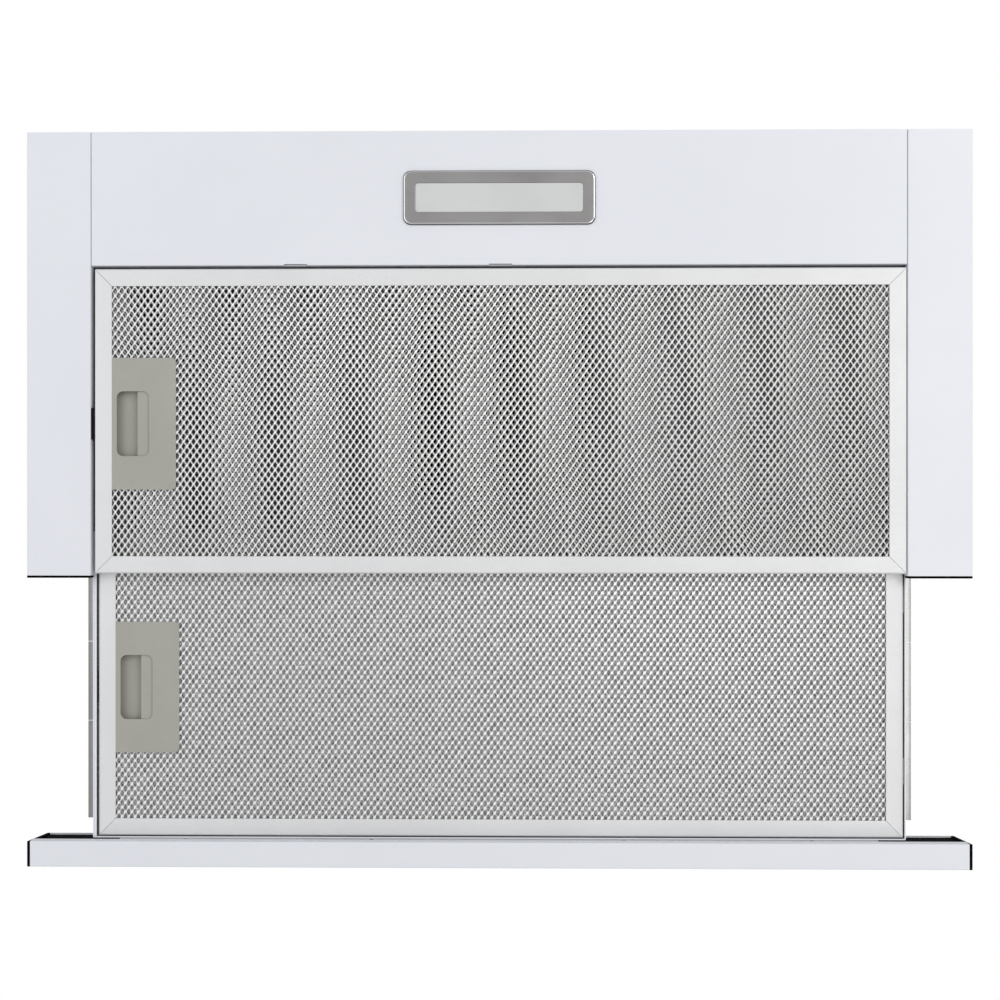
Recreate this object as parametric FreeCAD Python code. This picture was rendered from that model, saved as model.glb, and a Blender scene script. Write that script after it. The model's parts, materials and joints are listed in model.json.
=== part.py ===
import FreeCAD, Part
import math
import os

# A slim pull-out range hood, drawn with its drawer pulled out. Sizes are in millimetres.
# +X is to the right of someone who faces the hood, +Y points at the wall and +Z up.
# The origin is in the middle of the four cabinet screws, in the plane of the cabinet's underside.

# Whole hood
base_width = 600.0
base_depth = 282.4
base_height = 40.0
casing_height = 140.0
casing_side_step = 40.0
casing_front_step = 17.2
casing_wall_gap = 3.2
drawer_travel = 167.5
sheet = 0.8
overrun = 4.0
fold_gap = 0.3
slide_gap = 0.6

# Cabinet screws
cabinet_side = 18.0
cabinet_hole_radius = 2.25
cabinet_hole_pitch = 200.0

# Grease filters
filter_thick = 8.0
filter_rim = 11.0
filter_sheet = 0.8
mitre_gap = 0.1
tab_side_gap = 0.5
latch_side_gap = 2.5
filter_front_gap = 1.3
filter_rear_gap = 1.9
mesh_thick = 0.6
mesh_strand = 1.3
mesh_seat = 0.3
mesh_gap_pitch = 19.2
mesh_row_pitch = 13.4
core_gap_pitch = 38.4
core_row_pitch = 26.8
tab_width = 16.0
tab_reach = 1.4
tab_rise = 3.5
tab_thick = 1.0
tab_inset = 42.0
tab_play = 0.5

# Filter latches
latch_shift = -1.6
latch_margin = 3.0
latch_end = 17.0
latch_plate_thick = 0.8
latch_corner = 3.2
pocket_inset = 3.2
pocket_length = 41.2
pocket_corner = 4.0
pocket_end = 4.4
pocket_head = 1.2
pocket_wall = 1.2
pocket_rim_gap = 0.4
well_width = 13.0
pad_width = 9.3
pad_under = 1.7
pad_thick = 2.4
slide_rise = 1.1
arm_width = 2.2
arm_thick = 1.2
bridge_width = 4.6
tongue_width = 20.0
tongue_reach = 3.3
tongue_play = 0.4
latch_travel = 4.5
leaf_span = 26.0
leaf_thick = 0.4
leaf_width = 2.0
leaf_end_gap = 0.3
leaf_folded = 6.8

# Lamp panel and lamp
panel_depth = 85.2
panel_clip_width = 14.6
panel_clip_rise = 2.4
panel_clip_spacing = 130.3
panel_clip_offset = -1.9
lamp_offset = -1.1
bezel_border_x = 7.75
bezel_border_y = 8.1
bezel_thick = 1.6
bezel_corner = 5.0
bezel_neck_step = 3.0
bezel_neck_rise = 6.0
bezel_neck_wall = 1.6
window_width = 106.5
window_depth = 18.4
window_corner = 2.0
window_chamfer = 0.8
lens_edge = 2.4
lens_thick = 2.0
lens_sink = 0.5
lamp_box_side = 5.0
lamp_box_end = 5.7
lamp_box_height = 18.0
lamp_box_flange = 6.0
board_short = 2.5
board_width = 18.0
board_thick = 1.6
led_size = 5.0
led_height = 0.9
led_spacing = 16.0
driver_length = 84.0
driver_width = 34.0
driver_height = 22.0
driver_gap = 47.1
driver_corner = 3.0

# Side covers, caps and the walls behind them
side_strip = 40.8
cover_lip = 7.0
rail_wall_gap = 10.0
rail_wall_flange = 10.0
cap_thick = 1.5
cap_corner = 3.0
cap_plug_depth = 6.0
cap_plug_wall = 1.5
cap_plug_gap = 0.2
closed_gap = 0.3

# Opening of the top plate
plate_opening_edge = 2.0
plate_opening_front = 8.0
plate_opening_rear = 6.0

# Tray of the drawer
tray_margin = 1.0
tray_rear_clear = 1.9
tray_filter_gap = 0.5
tray_ledge_gap = 0.2
tray_ledge = 9.0
tray_end_rise = 2.4
tray_top_drop = 4.5
tray_lip = 9.0
tray_lip_inset = 17.2
tray_lip_rise = 1.6
tray_notch = 6.0
fascia_clear = 2.0

# Trim bar
trim_depth = 16.35
trim_cap_thick = 1.9
trim_lip_step = 3.8
trim_return = 7.0
trim_plug_step = 1.0
trim_plug_end_gap = 0.6
trim_plug_wall = 1.2
trim_plug_gap = 0.2
bracket_rise = 15.0
tray_screw_inset = 42.0
tray_screw_spacing = 120.0
tray_screw_head = 3.0
tray_screw_head_height = 1.6
tray_screw_shank = 1.5
tray_screw_length = 5.0
screw_slot = 0.8

# Ball slides
rail_drop = 1.7
rail_foot_gap = 10.5
rail_gauge = 1.2
rail_rear_room = 29.2
rail_front_step = 3.2
rail_inner_short = 10.0
rail_inner_reach = 11.4
rail_inner_depth = 4.9
ball_radius = 1.4
ball_play = 0.15
ball_pitch = 16.0
ball_count = 5
cage_length = 80.0
cage_front_step = 1.0
cage_sheet = 0.6
cage_inner_gap = 0.4
cage_web_reach = 6.0
rail_notch_width = 3.0
rail_notch_places = (112.8, 61.6)

# Control fascia, switches and their knobs
fascia_flange = 12.0
fascia_hem = 6.0
fascia_end_gap = 1.2
switch_spacing = 55.0
light_travel = 6.0
speed_inset = 55.2
speed_travel = 18.0
knob_width = 9.0
knob_margin = 2.0
knob_depth = 4.5
knob_rib = 1.0
knob_stem = 4.0
knob_gap = 0.5
knob_play = 2.0
switch_depth = 15.0
switch_play = 1.6
switch_wall = 1.5
switch_end = 6.0

# Casing
casing_foot = 12.0
casing_flange = 12.0
casing_screw_radius = 1.7
casing_screw_head = 3.4
casing_screw_head_height = 1.6
casing_screw_length = 5.0
casing_screw_low = 30.0
casing_screw_inset = 6.0
foot_screw_spacing = 180.0

# Outlet collar and flaps
collar_radius = 60.0
collar_wall = 2.0
collar_height = 40.0
collar_flange_reach = 10.0
collar_flange_thick = 2.5
collar_flange_corner = 10.0
collar_offset = 38.0
collar_screw_inset = 8.0
flap_pin_radius = 1.5
flap_pin_rise = 10.0
flap_pin_seat = 1.2
flap_thick = 1.5
flap_edge_gap = 0.8
flap_pin_gap = 0.3
knuckle_radius = 3.0
knuckle_length = 14.0
knuckle_spacing = 24.0
knuckle_clear = 0.6

# Blower
blower_foot_gap = 2.0
outlet_room = 18.7
throat_step = 15.0
impeller_half = 53.0
blade_depth = 8.0
blade_thick = 1.2
blade_lean = 25.0
blade_count = 30
hub_radius = 9.0
hub_length = 26.0
hub_disc = 3.0
scroll_wall = 2.0
scroll_side_gap = 5.0
scroll_top_gap = 4.5
scroll_front_gap = 8.0
scroll_foot_gap = 10.0
scroll_tongue_gap = 4.5
tongue_lead_angle = 2.0
notch_lead_angle = 19.0
scroll_rear_gap = 60.0
scroll_flange = 8.0
inlet_overlap = 6.0
inlet_lip = 6.0
motor_play = 10.0
motor_start = 16.0
motor_tail = 6.0
motor_boss = 10.0
motor_boss_length = 3.0
motor_rib = 1.5
shaft_radius = 4.0
shaft_reach = 24.0
shaft_gap = 0.3
bracket_thick = 2.0
bracket_ring = 4.0
bracket_arm = 9.0
bracket_overlap = 13.0
bracket_arm_count = 3
mount_radius = 4.0
mount_inset = 8.0

# Electrical parts
capacitor_radius = 17.5
capacitor_length = 62.0
capacitor_inset = 100.0
capacitor_back = 40.0
clip_thick = 0.8
clip_width = 14.0
clip_foot = 9.0
terminal_length = 60.0
terminal_width = 40.0
terminal_height = 30.0
terminal_wall = 1.5
terminal_inset = 55.0
terminal_back = 28.0
block_length = 34.0
block_width = 16.0
block_height = 12.0
gland_radius = 8.0
gland_nut = 11.0
gland_nut_height = 6.0
gland_nut_sides = 6
gland_height = 14.0
gland_below = 6.0
gland_bore = 4.2

# Places that follow from the sizes above
half_width = base_width / 2
wall_y = base_depth / 2
front_y = -wall_y
bottom_z = -base_height
plate_z = -sheet
screw_x = half_width - cabinet_side / 2
opening_half = half_width - side_strip
filter_length = 2 * opening_half - tab_side_gap - latch_side_gap
filter_depth = base_depth - filter_front_gap - filter_rear_gap - panel_depth
filter_x0 = tab_side_gap - opening_half
filter_x1 = filter_x0 + filter_length
rear_filter_y0 = front_y + filter_front_gap
rear_filter_y1 = rear_filter_y0 + filter_depth
panel_y = rear_filter_y1 + filter_rear_gap
pocket_width = well_width + pad_width - pad_under
pocket_box_length = pocket_length + 2 * pocket_end
pocket_box_height = filter_thick - latch_plate_thick - pocket_head
pocket_box_reach = pad_width + latch_travel + leaf_folded + pocket_wall
latch_width = pocket_inset + well_width + pocket_box_reach + latch_margin
latch_length = pocket_box_length + 2 * latch_end
bezel_width = window_width + 2 * bezel_border_x
bezel_depth = window_depth + 2 * bezel_border_y
bezel_neck_width = bezel_width - 2 * bezel_neck_step
bezel_neck_depth = bezel_depth - 2 * bezel_neck_step
lamp_box_width = bezel_width + 2 * lamp_box_side
lamp_box_depth = bezel_depth + 2 * lamp_box_end
board_length = window_width - board_short
led_count = int(board_length / led_spacing)
driver_x0 = lamp_offset + lamp_box_width / 2 + lamp_box_flange + driver_gap
tray_half = opening_half + tray_margin
tray_y1 = panel_y - tray_rear_clear - drawer_travel
front_filter_y1 = tray_y1 - sheet - tray_filter_gap
front_filter_y0 = front_filter_y1 - filter_depth
tray_y0 = front_filter_y0 - tray_filter_gap - sheet
tray_z = bottom_z + filter_thick + slide_gap
ledge_z = tray_z + filter_thick + tray_ledge_gap
tray_end_z = ledge_z + sheet + tray_end_rise
tray_lip_half = tray_half - tray_lip_inset
tray_screw_outer = tray_lip_half - tray_screw_inset
tray_screw_inner = tray_screw_outer - tray_screw_spacing
fascia_z = tray_end_z + fascia_clear
switch_height = plate_z - fascia_z - 2 * switch_play
knob_height = switch_height - 2 * knob_margin
knob_block = switch_height - 2 * (switch_wall + knob_play)
speed_place = tray_half - speed_inset
light_place = speed_place - switch_spacing
rail_wall_x = tray_half + rail_wall_gap
trim_rear_y = front_y - cap_thick - closed_gap - drawer_travel
trim_y = trim_rear_y - trim_depth
casing_half = half_width - casing_side_step
casing_y1 = wall_y - casing_wall_gap
casing_y0 = front_y + casing_front_step
casing_under = casing_height - sheet
casing_screw_high = casing_height - casing_screw_low
rail_z1 = plate_z - rail_drop
rail_z0 = bottom_z + rail_foot_gap
rail_length = base_depth - rail_front_step - rail_rear_room
rail_inner_length = rail_length - rail_inner_short
race_gap = 2 * (ball_radius + ball_play)
rail_y0 = front_y + rail_front_step
rail_inner_y0 = tray_y0 + rail_inner_reach
flap_z = casing_height + flap_pin_rise
collar_flange_half = collar_radius + collar_flange_reach
collar_screw_place = collar_flange_half - collar_screw_inset
collar_place = (casing_y0 + casing_y1) / 2 + collar_offset
blower_place = collar_place - collar_radius - throat_step
scroll_below = blower_foot_gap + scroll_wall + scroll_foot_gap
scroll_above = scroll_top_gap + scroll_wall + outlet_room
impeller_radius = (casing_under - scroll_below - scroll_above) / 2
blower_rise = scroll_below + impeller_radius
scroll_half = impeller_half + scroll_side_gap + scroll_wall
inlet_radius = impeller_radius - inlet_overlap
motor_radius = impeller_radius - blade_depth - motor_play
bracket_reach = inlet_radius + bracket_overlap
mount_place = inlet_radius + mount_inset
bracket_x0 = scroll_half + inlet_lip
motor_end = bracket_x0 + motor_tail
capacitor_place = casing_half - capacitor_inset
terminal_place = casing_half - terminal_inset


# Basic shapes
def block(x0, x1, y0, y1, z0, z1):
    corner = FreeCAD.Vector(min(x0, x1), min(y0, y1), min(z0, z1))
    return Part.makeBox(abs(x1 - x0), abs(y1 - y0), abs(z1 - z0), corner)


def rod(radius, start, end):
    start, end = FreeCAD.Vector(*start), FreeCAD.Vector(*end)
    return Part.makeCylinder(radius, (end - start).Length, start, end - start)


def tube(outer, inner, start, end):
    return rod(outer, start, end).cut(rod(inner, start, end))


def joined(pieces):
    whole = pieces[0].multiFuse(pieces[1:]) if len(pieces) > 1 else pieces[0]
    return whole.removeSplitter()


def holed(solid, tools):
    return solid.cut(Part.makeCompound(tools))


def rounded_upright(solid, radius, test):
    edges = [e for e in solid.Edges if is_upright(e) and test(e.CenterOfMass)]
    return solid.makeFillet(radius, edges)


def is_upright(edge):
    span = edge.BoundBox
    return span.XLength < span.ZLength / 2 and span.YLength < span.ZLength / 2


def rounded_block(x0, x1, y0, y1, z0, z1, radius):
    return rounded_upright(block(x0, x1, y0, y1, z0, z1), radius, lambda centre: True)


def prism(points, direction):
    vectors = [FreeCAD.Vector(*p) for p in points]
    face = Part.Face(Part.makePolygon(vectors + vectors[:1]))
    return face.extrude(FreeCAD.Vector(*direction))


def other_side(shape):
    return shape.mirror(FreeCAD.Vector(0, 0, 0), FreeCAD.Vector(1, 0, 0))


def save(name, solids):
    group = solids if isinstance(solids, list) else [solids]
    found = [solid for shape in group for solid in shape.Solids]
    shape = found[0] if len(found) == 1 else Part.makeCompound(found)
    shape.exportStep("parts/" + name + ".step")
    print(name, len(found), round(sum(solid.Volume for solid in found)), shape.isValid())


def save_pair(name, right_shape):
    save(name + "_right", right_shape)
    save(name + "_left", other_side(right_shape))


# Base: top plate, rear skirt, side covers, caps and the walls behind the slides
def base_frame():
    plate = block(-half_width, half_width, front_y, wall_y, plate_z, 0)
    skirt = block(-half_width + sheet, half_width - sheet, wall_y - sheet, wall_y, bottom_z + sheet, plate_z)
    opening_x = casing_half - sheet - casing_foot - plate_opening_edge
    air = block(-opening_x, opening_x, casing_y0 + sheet + plate_opening_front,
                panel_y - plate_opening_rear, plate_z - overrun, overrun)
    tools = [air]
    for side in (-1, 1):
        for end in (-1, 1):
            hole_y = end * cabinet_hole_pitch / 2
            tools.append(rod(cabinet_hole_radius, (side * screw_x, hole_y, plate_z - overrun),
                             (side * screw_x, hole_y, overrun)))
            foot_x = side * (casing_half - sheet - casing_foot / 2)
            foot_y = end * foot_screw_spacing / 2
            tools.append(rod(casing_screw_radius, (foot_x, foot_y, plate_z - overrun),
                             (foot_x, foot_y, overrun)))
    return holed(joined([plate, skirt]), tools)


def rail_wall():
    wall = block(rail_wall_x, rail_wall_x + sheet, rail_y0, wall_y - sheet, bottom_z + sheet, plate_z)
    flange = block(rail_wall_x, rail_wall_x + sheet + rail_wall_flange, rail_y0, wall_y - sheet,
                   plate_z - sheet, plate_z)
    return joined([wall, flange])


def side_cover(side):
    strip = block(opening_half, half_width, front_y, wall_y, bottom_z, bottom_z + sheet)
    outer = block(half_width - sheet, half_width, front_y, wall_y, bottom_z, plate_z)
    lip = block(opening_half, opening_half + sheet, front_y, wall_y - sheet, bottom_z, bottom_z + cover_lip)
    cover = joined([strip, outer, lip])
    lip_x0, lip_x1 = opening_half - overrun, opening_half + sheet + fold_gap
    if side > 0:
        middle = latch_middle(rear_filter_y0)
        reach = tongue_width / 2 + tongue_play
        low = bottom_z + slide_rise - tongue_play / 2
        return cover.cut(block(lip_x0, lip_x1, middle - reach, middle + reach,
                               low, low + arm_thick + 2 * tongue_play))
    slots = [block(lip_x0, lip_x1, place - tab_width / 2 - tab_play, place + tab_width / 2 + tab_play,
                   bottom_z + tab_rise - tab_play, bottom_z + cover_lip + overrun)
             for place in tab_places(rear_filter_y0)]
    return other_side(holed(cover, slots))


def front_cap():
    y0, y1 = front_y - cap_thick, front_y
    plate = block(opening_half, half_width, y0, y1, bottom_z, 0)
    rail_way = block(opening_half - overrun, rail_wall_x, y0 - overrun, y1 + overrun,
                     bottom_z + cover_lip, overrun)
    plate = plate.cut(rail_way)
    corner = [e for e in plate.Edges if e.BoundBox.YLength > cap_thick / 2
              and abs(e.CenterOfMass.x - opening_half) < fold_gap
              and abs(e.CenterOfMass.z - bottom_z) < fold_gap]
    plate = plate.makeFillet(cap_corner, corner)
    x0, x1 = rail_wall_x + sheet + cap_plug_gap, half_width - sheet - cap_plug_gap
    z0, z1 = bottom_z + sheet + cap_plug_gap, plate_z - sheet - cap_plug_gap
    ring = block(x0, x1, y1, y1 + cap_plug_depth, z0, z1)
    ring = ring.cut(block(x0 + cap_plug_wall, x1 - cap_plug_wall, y1 - overrun, y1 + cap_plug_depth + overrun,
                          z0 + cap_plug_wall, z1 - cap_plug_wall))
    return joined([plate, ring])


# Lamp panel with its lamp
def lamp_middle():
    return lamp_offset, (panel_y + wall_y) / 2


def lamp_panel():
    half = opening_half - fold_gap
    bottom = block(-half, half, panel_y, wall_y, bottom_z, bottom_z + sheet)
    upright = block(-half, half, panel_y, panel_y + sheet, bottom_z, plate_z)
    sides = [block(side * half, side * (half - sheet), panel_y, wall_y - sheet,
                   bottom_z, bottom_z + cover_lip) for side in (-1, 1)]
    x, y = lamp_middle()
    hole = block(x - bezel_neck_width / 2, x + bezel_neck_width / 2, y - bezel_neck_depth / 2,
                 y + bezel_neck_depth / 2, bottom_z - overrun, bottom_z + sheet + fold_gap)
    clips = [block(place - panel_clip_width / 2, place + panel_clip_width / 2, panel_y - overrun,
                   panel_y + sheet, bottom_z - overrun, bottom_z + panel_clip_rise)
             for place in (panel_clip_offset, panel_clip_offset + panel_clip_spacing)]
    return holed(joined([bottom, upright] + sides), [hole] + clips)


def lamp_bezel():
    x, y = lamp_middle()
    face_z = bottom_z - bezel_thick
    rim = rounded_block(x - bezel_width / 2, x + bezel_width / 2, y - bezel_depth / 2, y + bezel_depth / 2,
                        face_z, bottom_z, bezel_corner)
    lower = [e for e in rim.Edges if e.BoundBox.ZMax < face_z + fold_gap]
    rim = rim.makeChamfer(window_chamfer / 2, lower)
    neck = block(x - bezel_neck_width / 2, x + bezel_neck_width / 2, y - bezel_neck_depth / 2,
                 y + bezel_neck_depth / 2, bottom_z, bottom_z + bezel_neck_rise)
    inside = block(x - bezel_neck_width / 2 + bezel_neck_wall, x + bezel_neck_width / 2 - bezel_neck_wall,
                   y - bezel_neck_depth / 2 + bezel_neck_wall, y + bezel_neck_depth / 2 - bezel_neck_wall,
                   bottom_z, bottom_z + bezel_neck_rise + overrun)
    window = rounded_block(x - window_width / 2, x + window_width / 2, y - window_depth / 2,
                           y + window_depth / 2, face_z - overrun, bottom_z + overrun, window_corner)
    return holed(joined([rim, neck]), [inside, window])


def lamp_lens():
    x, y = lamp_middle()
    half_x, half_y = window_width / 2, window_depth / 2
    seat = block(x - half_x - lens_edge, x + half_x + lens_edge, y - half_y - lens_edge,
                 y + half_y + lens_edge, bottom_z, bottom_z + lens_thick)
    face = rounded_block(x - half_x, x + half_x, y - half_y, y + half_y,
                         bottom_z - bezel_thick + lens_sink, bottom_z, window_corner)
    return joined([seat, face])


def lamp_housing():
    x, y = lamp_middle()
    z0 = bottom_z + sheet
    z1 = z0 + lamp_box_height
    wall = sheet
    half_x, half_y = lamp_box_width / 2, lamp_box_depth / 2
    body = block(x - half_x, x + half_x, y - half_y, y + half_y, z0, z1)
    body = body.cut(block(x - half_x + wall, x + half_x - wall, y - half_y + wall, y + half_y - wall,
                          z0 - overrun, z1 - wall))
    feet = [block(x + side * half_x, x + side * (half_x + lamp_box_flange), y - half_y, y + half_y,
                  z0, z0 + wall) for side in (-1, 1)]
    return joined([body] + feet)


def led_board():
    x, y = lamp_middle()
    z1 = bottom_z + lamp_box_height
    z0 = z1 - board_thick
    half_x, half_y = board_length / 2, board_width / 2
    parts = [block(x - half_x, x + half_x, y - half_y, y + half_y, z0, z1)]
    for index in range(led_count):
        place = x + (index - (led_count - 1) / 2) * led_spacing
        parts.append(block(place - led_size / 2, place + led_size / 2, y - led_size / 2, y + led_size / 2,
                           z0 - led_height, z0))
    return joined(parts)


def led_driver():
    y = lamp_middle()[1]
    return rounded_block(driver_x0, driver_x0 + driver_length, y - driver_width / 2, y + driver_width / 2,
                         plate_z - driver_height, plate_z, driver_corner)


# Grease filter, the same in the base and in the drawer
def tab_places(y0):
    return (y0 + tab_inset, y0 + filter_depth - tab_inset)


def latch_middle(y0):
    return y0 + filter_depth / 2 + latch_shift


def rim_bar(start, end, inward):
    # A channel of folded sheet that opens towards the filter's middle, mitred at both ends.
    along = (end - start).normalize()
    low, high = start + along * (mitre_gap / 2), end - along * (mitre_gap / 2)

    def leaf(depth, z0, z1):
        corners = [low, high, high - along * depth + inward * depth, low + along * depth + inward * depth]
        return prism([(c.x, c.y, c.z + z0) for c in corners], (0, 0, z1 - z0))

    bottom = leaf(filter_rim, 0, filter_sheet)
    top = leaf(filter_rim, filter_thick - filter_sheet, filter_thick)
    back = leaf(filter_sheet, 0, filter_thick)
    return joined([bottom, top, back])


def filter_frame(y0, z0):
    y1 = y0 + filter_depth
    corners = [FreeCAD.Vector(filter_x0, y0, z0), FreeCAD.Vector(filter_x1, y0, z0),
               FreeCAD.Vector(filter_x1, y1, z0), FreeCAD.Vector(filter_x0, y1, z0)]
    inward = [FreeCAD.Vector(*way) for way in ((0, 1, 0), (-1, 0, 0), (0, -1, 0), (1, 0, 0))]
    front, latch_side, rear, tab_side = [rim_bar(start, end, way) for start, end, way
                                         in zip(corners, corners[1:] + corners[:1], inward)]
    middle = latch_middle(y0)
    reach = tongue_width / 2 + tongue_play
    slot = block(filter_x1 - filter_sheet - fold_gap, filter_x1 + overrun, middle - reach, middle + reach,
                 z0 + slide_rise - tongue_play / 2, z0 + slide_rise + arm_thick + tongue_play)
    latch_side = latch_side.cut(slot)
    tabs = [block(filter_x0 - tab_reach, filter_x0 + filter_sheet, place - tab_width / 2,
                  place + tab_width / 2, z0 + tab_rise, z0 + tab_rise + tab_thick)
            for place in tab_places(y0)]
    return [front, latch_side, rear, joined([tab_side] + tabs)]


def latch_frame(y0):
    # Edges of the latch plate and of the box behind it, from the filter's front edge y0.
    middle = latch_middle(y0)
    plate_x1 = filter_x1 - filter_rim
    plate_x0 = plate_x1 - latch_width
    box_x1 = filter_x1 - filter_sheet - pocket_rim_gap
    box_x0 = pocket_edges(plate_x1)[1] - well_width - pocket_box_reach
    return middle, plate_x0, plate_x1, box_x0, box_x1


def net(y0, z0, z1, gap_pitch, row_pitch):
    # One sheet of staggered diamond gaps between strands, with the latch's place cut out.
    edge = filter_sheet + mesh_seat
    x0, x1 = filter_x0 + edge, filter_x1 - edge
    low, high = y0 + edge, y0 + filter_depth - edge
    middle, plate_x0, plate_x1, box_x0, box_x1 = latch_frame(y0)
    half_box = pocket_box_length / 2 + mesh_seat
    outline = [(x0, low), (x1, low), (x1, middle - half_box), (box_x0 - mesh_seat, middle - half_box),
               (box_x0 - mesh_seat, middle + half_box), (x1, middle + half_box), (x1, high), (x0, high)]
    outer = Part.makePolygon([FreeCAD.Vector(x, y, z0) for x, y in outline + outline[:1]])
    span_x = filter_length - 2 * filter_rim
    span_y = filter_depth - 2 * filter_rim
    half_x, half_y = gap_pitch / 2 - mesh_strand / 2, row_pitch - mesh_strand
    columns, rows = int(span_x / gap_pitch), int((span_y - 2 * half_y) / row_pitch) + 1
    centre_x, centre_y = (filter_x0 + filter_x1) / 2, y0 + filter_depth / 2
    holes = []
    for row in range(rows):
        shift = row % 2
        for column in range(columns - shift):
            x = centre_x + (column - (columns - shift - 1) / 2) * gap_pitch
            y = centre_y + (row - (rows - 1) / 2) * row_pitch
            beside = abs(y - middle) < half_box + half_y + mesh_strand
            if beside and x + half_x > box_x0 - 2 * mesh_strand:
                continue
            diamond = [(x - half_x, y), (x, y + half_y), (x + half_x, y), (x, y - half_y)]
            holes.append(Part.makePolygon([FreeCAD.Vector(a, b, z0) for a, b in diamond + diamond[:1]]))
    face = Part.Face([outer] + holes)
    print("net", len(holes), "gaps")
    return face.extrude(FreeCAD.Vector(0, 0, z1 - z0))


def filter_mesh(y0, z0):
    low = z0 + filter_sheet
    return net(y0, low, low + mesh_thick, mesh_gap_pitch, mesh_row_pitch)


def filter_core(y0, z0):
    middle_z = z0 + filter_thick / 2
    top_z = z0 + filter_thick - filter_sheet
    return [net(y0, middle_z, middle_z + mesh_thick, core_gap_pitch, core_row_pitch),
            net(y0, top_z - mesh_thick, top_z, core_gap_pitch, core_row_pitch)]


def pocket_edges(plate_x1):
    x1 = plate_x1 - pocket_inset
    return x1 - pocket_width, x1


def latch_plate(y0, z0):
    middle, plate_x0, plate_x1, box_x0, box_x1 = latch_frame(y0)
    plate = block(plate_x0, plate_x1, middle - latch_length / 2, middle + latch_length / 2,
                  z0, z0 + latch_plate_thick)
    plate = rounded_upright(plate, latch_corner, lambda centre: centre.x < plate_x0 + latch_corner)
    half = pocket_box_length / 2
    box = block(box_x0, box_x1, middle - half, middle + half, z0 + latch_plate_thick,
                z0 + latch_plate_thick + pocket_box_height)
    room = block(box_x0 + pocket_wall, box_x1 - pocket_wall, middle - half + pocket_wall,
                 middle + half - pocket_wall, z0 + latch_plate_thick,
                 z0 + latch_plate_thick + pocket_box_height - pocket_wall)
    x0, x1 = pocket_edges(plate_x1)
    mouth = rounded_block(x0, x1, middle - pocket_length / 2, middle + pocket_length / 2, z0 - overrun,
                          z0 + latch_plate_thick + fold_gap, pocket_corner)
    reach = tongue_width / 2 + tongue_play
    tongue_way = block(box_x1 - pocket_wall - fold_gap, box_x1 + overrun, middle - reach, middle + reach,
                       z0 + slide_rise - tongue_play / 2, z0 + slide_rise + arm_thick + tongue_play)
    return holed(joined([plate, box]), [room, mouth, tongue_way])


def pad_edge(y0):
    plate_x1 = latch_frame(y0)[2]
    return pocket_edges(plate_x1)[1] - well_width - pad_width


def latch_slide(y0, z0):
    middle, plate_x0, plate_x1, box_x0, box_x1 = latch_frame(y0)
    pad_x0 = pad_edge(y0)
    low = z0 + slide_rise
    half = pocket_box_length / 2 - pocket_wall - tongue_play
    bridge_x1 = box_x1 - pocket_wall - tongue_play
    pad = block(pad_x0, pad_x0 + pad_width, middle - half, middle + half, low, low + pad_thick)
    arms = [block(pad_x0, bridge_x1, middle + side * (half - arm_width), middle + side * half,
                  low, low + arm_thick) for side in (-1, 1)]
    bridge = block(bridge_x1 - bridge_width, bridge_x1, middle - half, middle + half, low, low + arm_thick)
    tongue = block(bridge_x1 - bridge_width, filter_x1 + tongue_reach, middle - tongue_width / 2,
                   middle + tongue_width / 2, low, low + arm_thick)
    return joined([pad, bridge, tongue] + arms)


def latch_spring(y0, z0):
    # A bowed leaf between the box's wall and the back of the sliding pad.
    middle, plate_x0, plate_x1, box_x0, box_x1 = latch_frame(y0)
    back_x = box_x0 + pocket_wall + leaf_end_gap
    top_x = pad_edge(y0) - leaf_end_gap
    low = z0 + slide_rise
    ends = [FreeCAD.Vector(back_x, middle + side * leaf_span / 2, low) for side in (-1, 1)]
    outer = Part.Arc(ends[0], FreeCAD.Vector(top_x, middle, low), ends[1]).toShape()
    thin = [FreeCAD.Vector(back_x, middle + side * (leaf_span / 2 - leaf_thick), low) for side in (1, -1)]
    inner = Part.Arc(thin[0], FreeCAD.Vector(top_x - leaf_thick, middle, low), thin[1]).toShape()
    edges = [outer, Part.makeLine(ends[1], thin[0]), inner, Part.makeLine(thin[1], ends[0])]
    return Part.Face(Part.Wire(edges)).extrude(FreeCAD.Vector(0, 0, leaf_width))


def save_filter(name, y0, z0):
    save(name + "_filter_frame", filter_frame(y0, z0))
    save(name + "_filter_mesh", filter_mesh(y0, z0))
    save(name + "_filter_core", filter_core(y0, z0))
    save(name + "_latch_plate", latch_plate(y0, z0))
    save(name + "_latch_slide", latch_slide(y0, z0))
    save(name + "_latch_spring", latch_spring(y0, z0))


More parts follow.
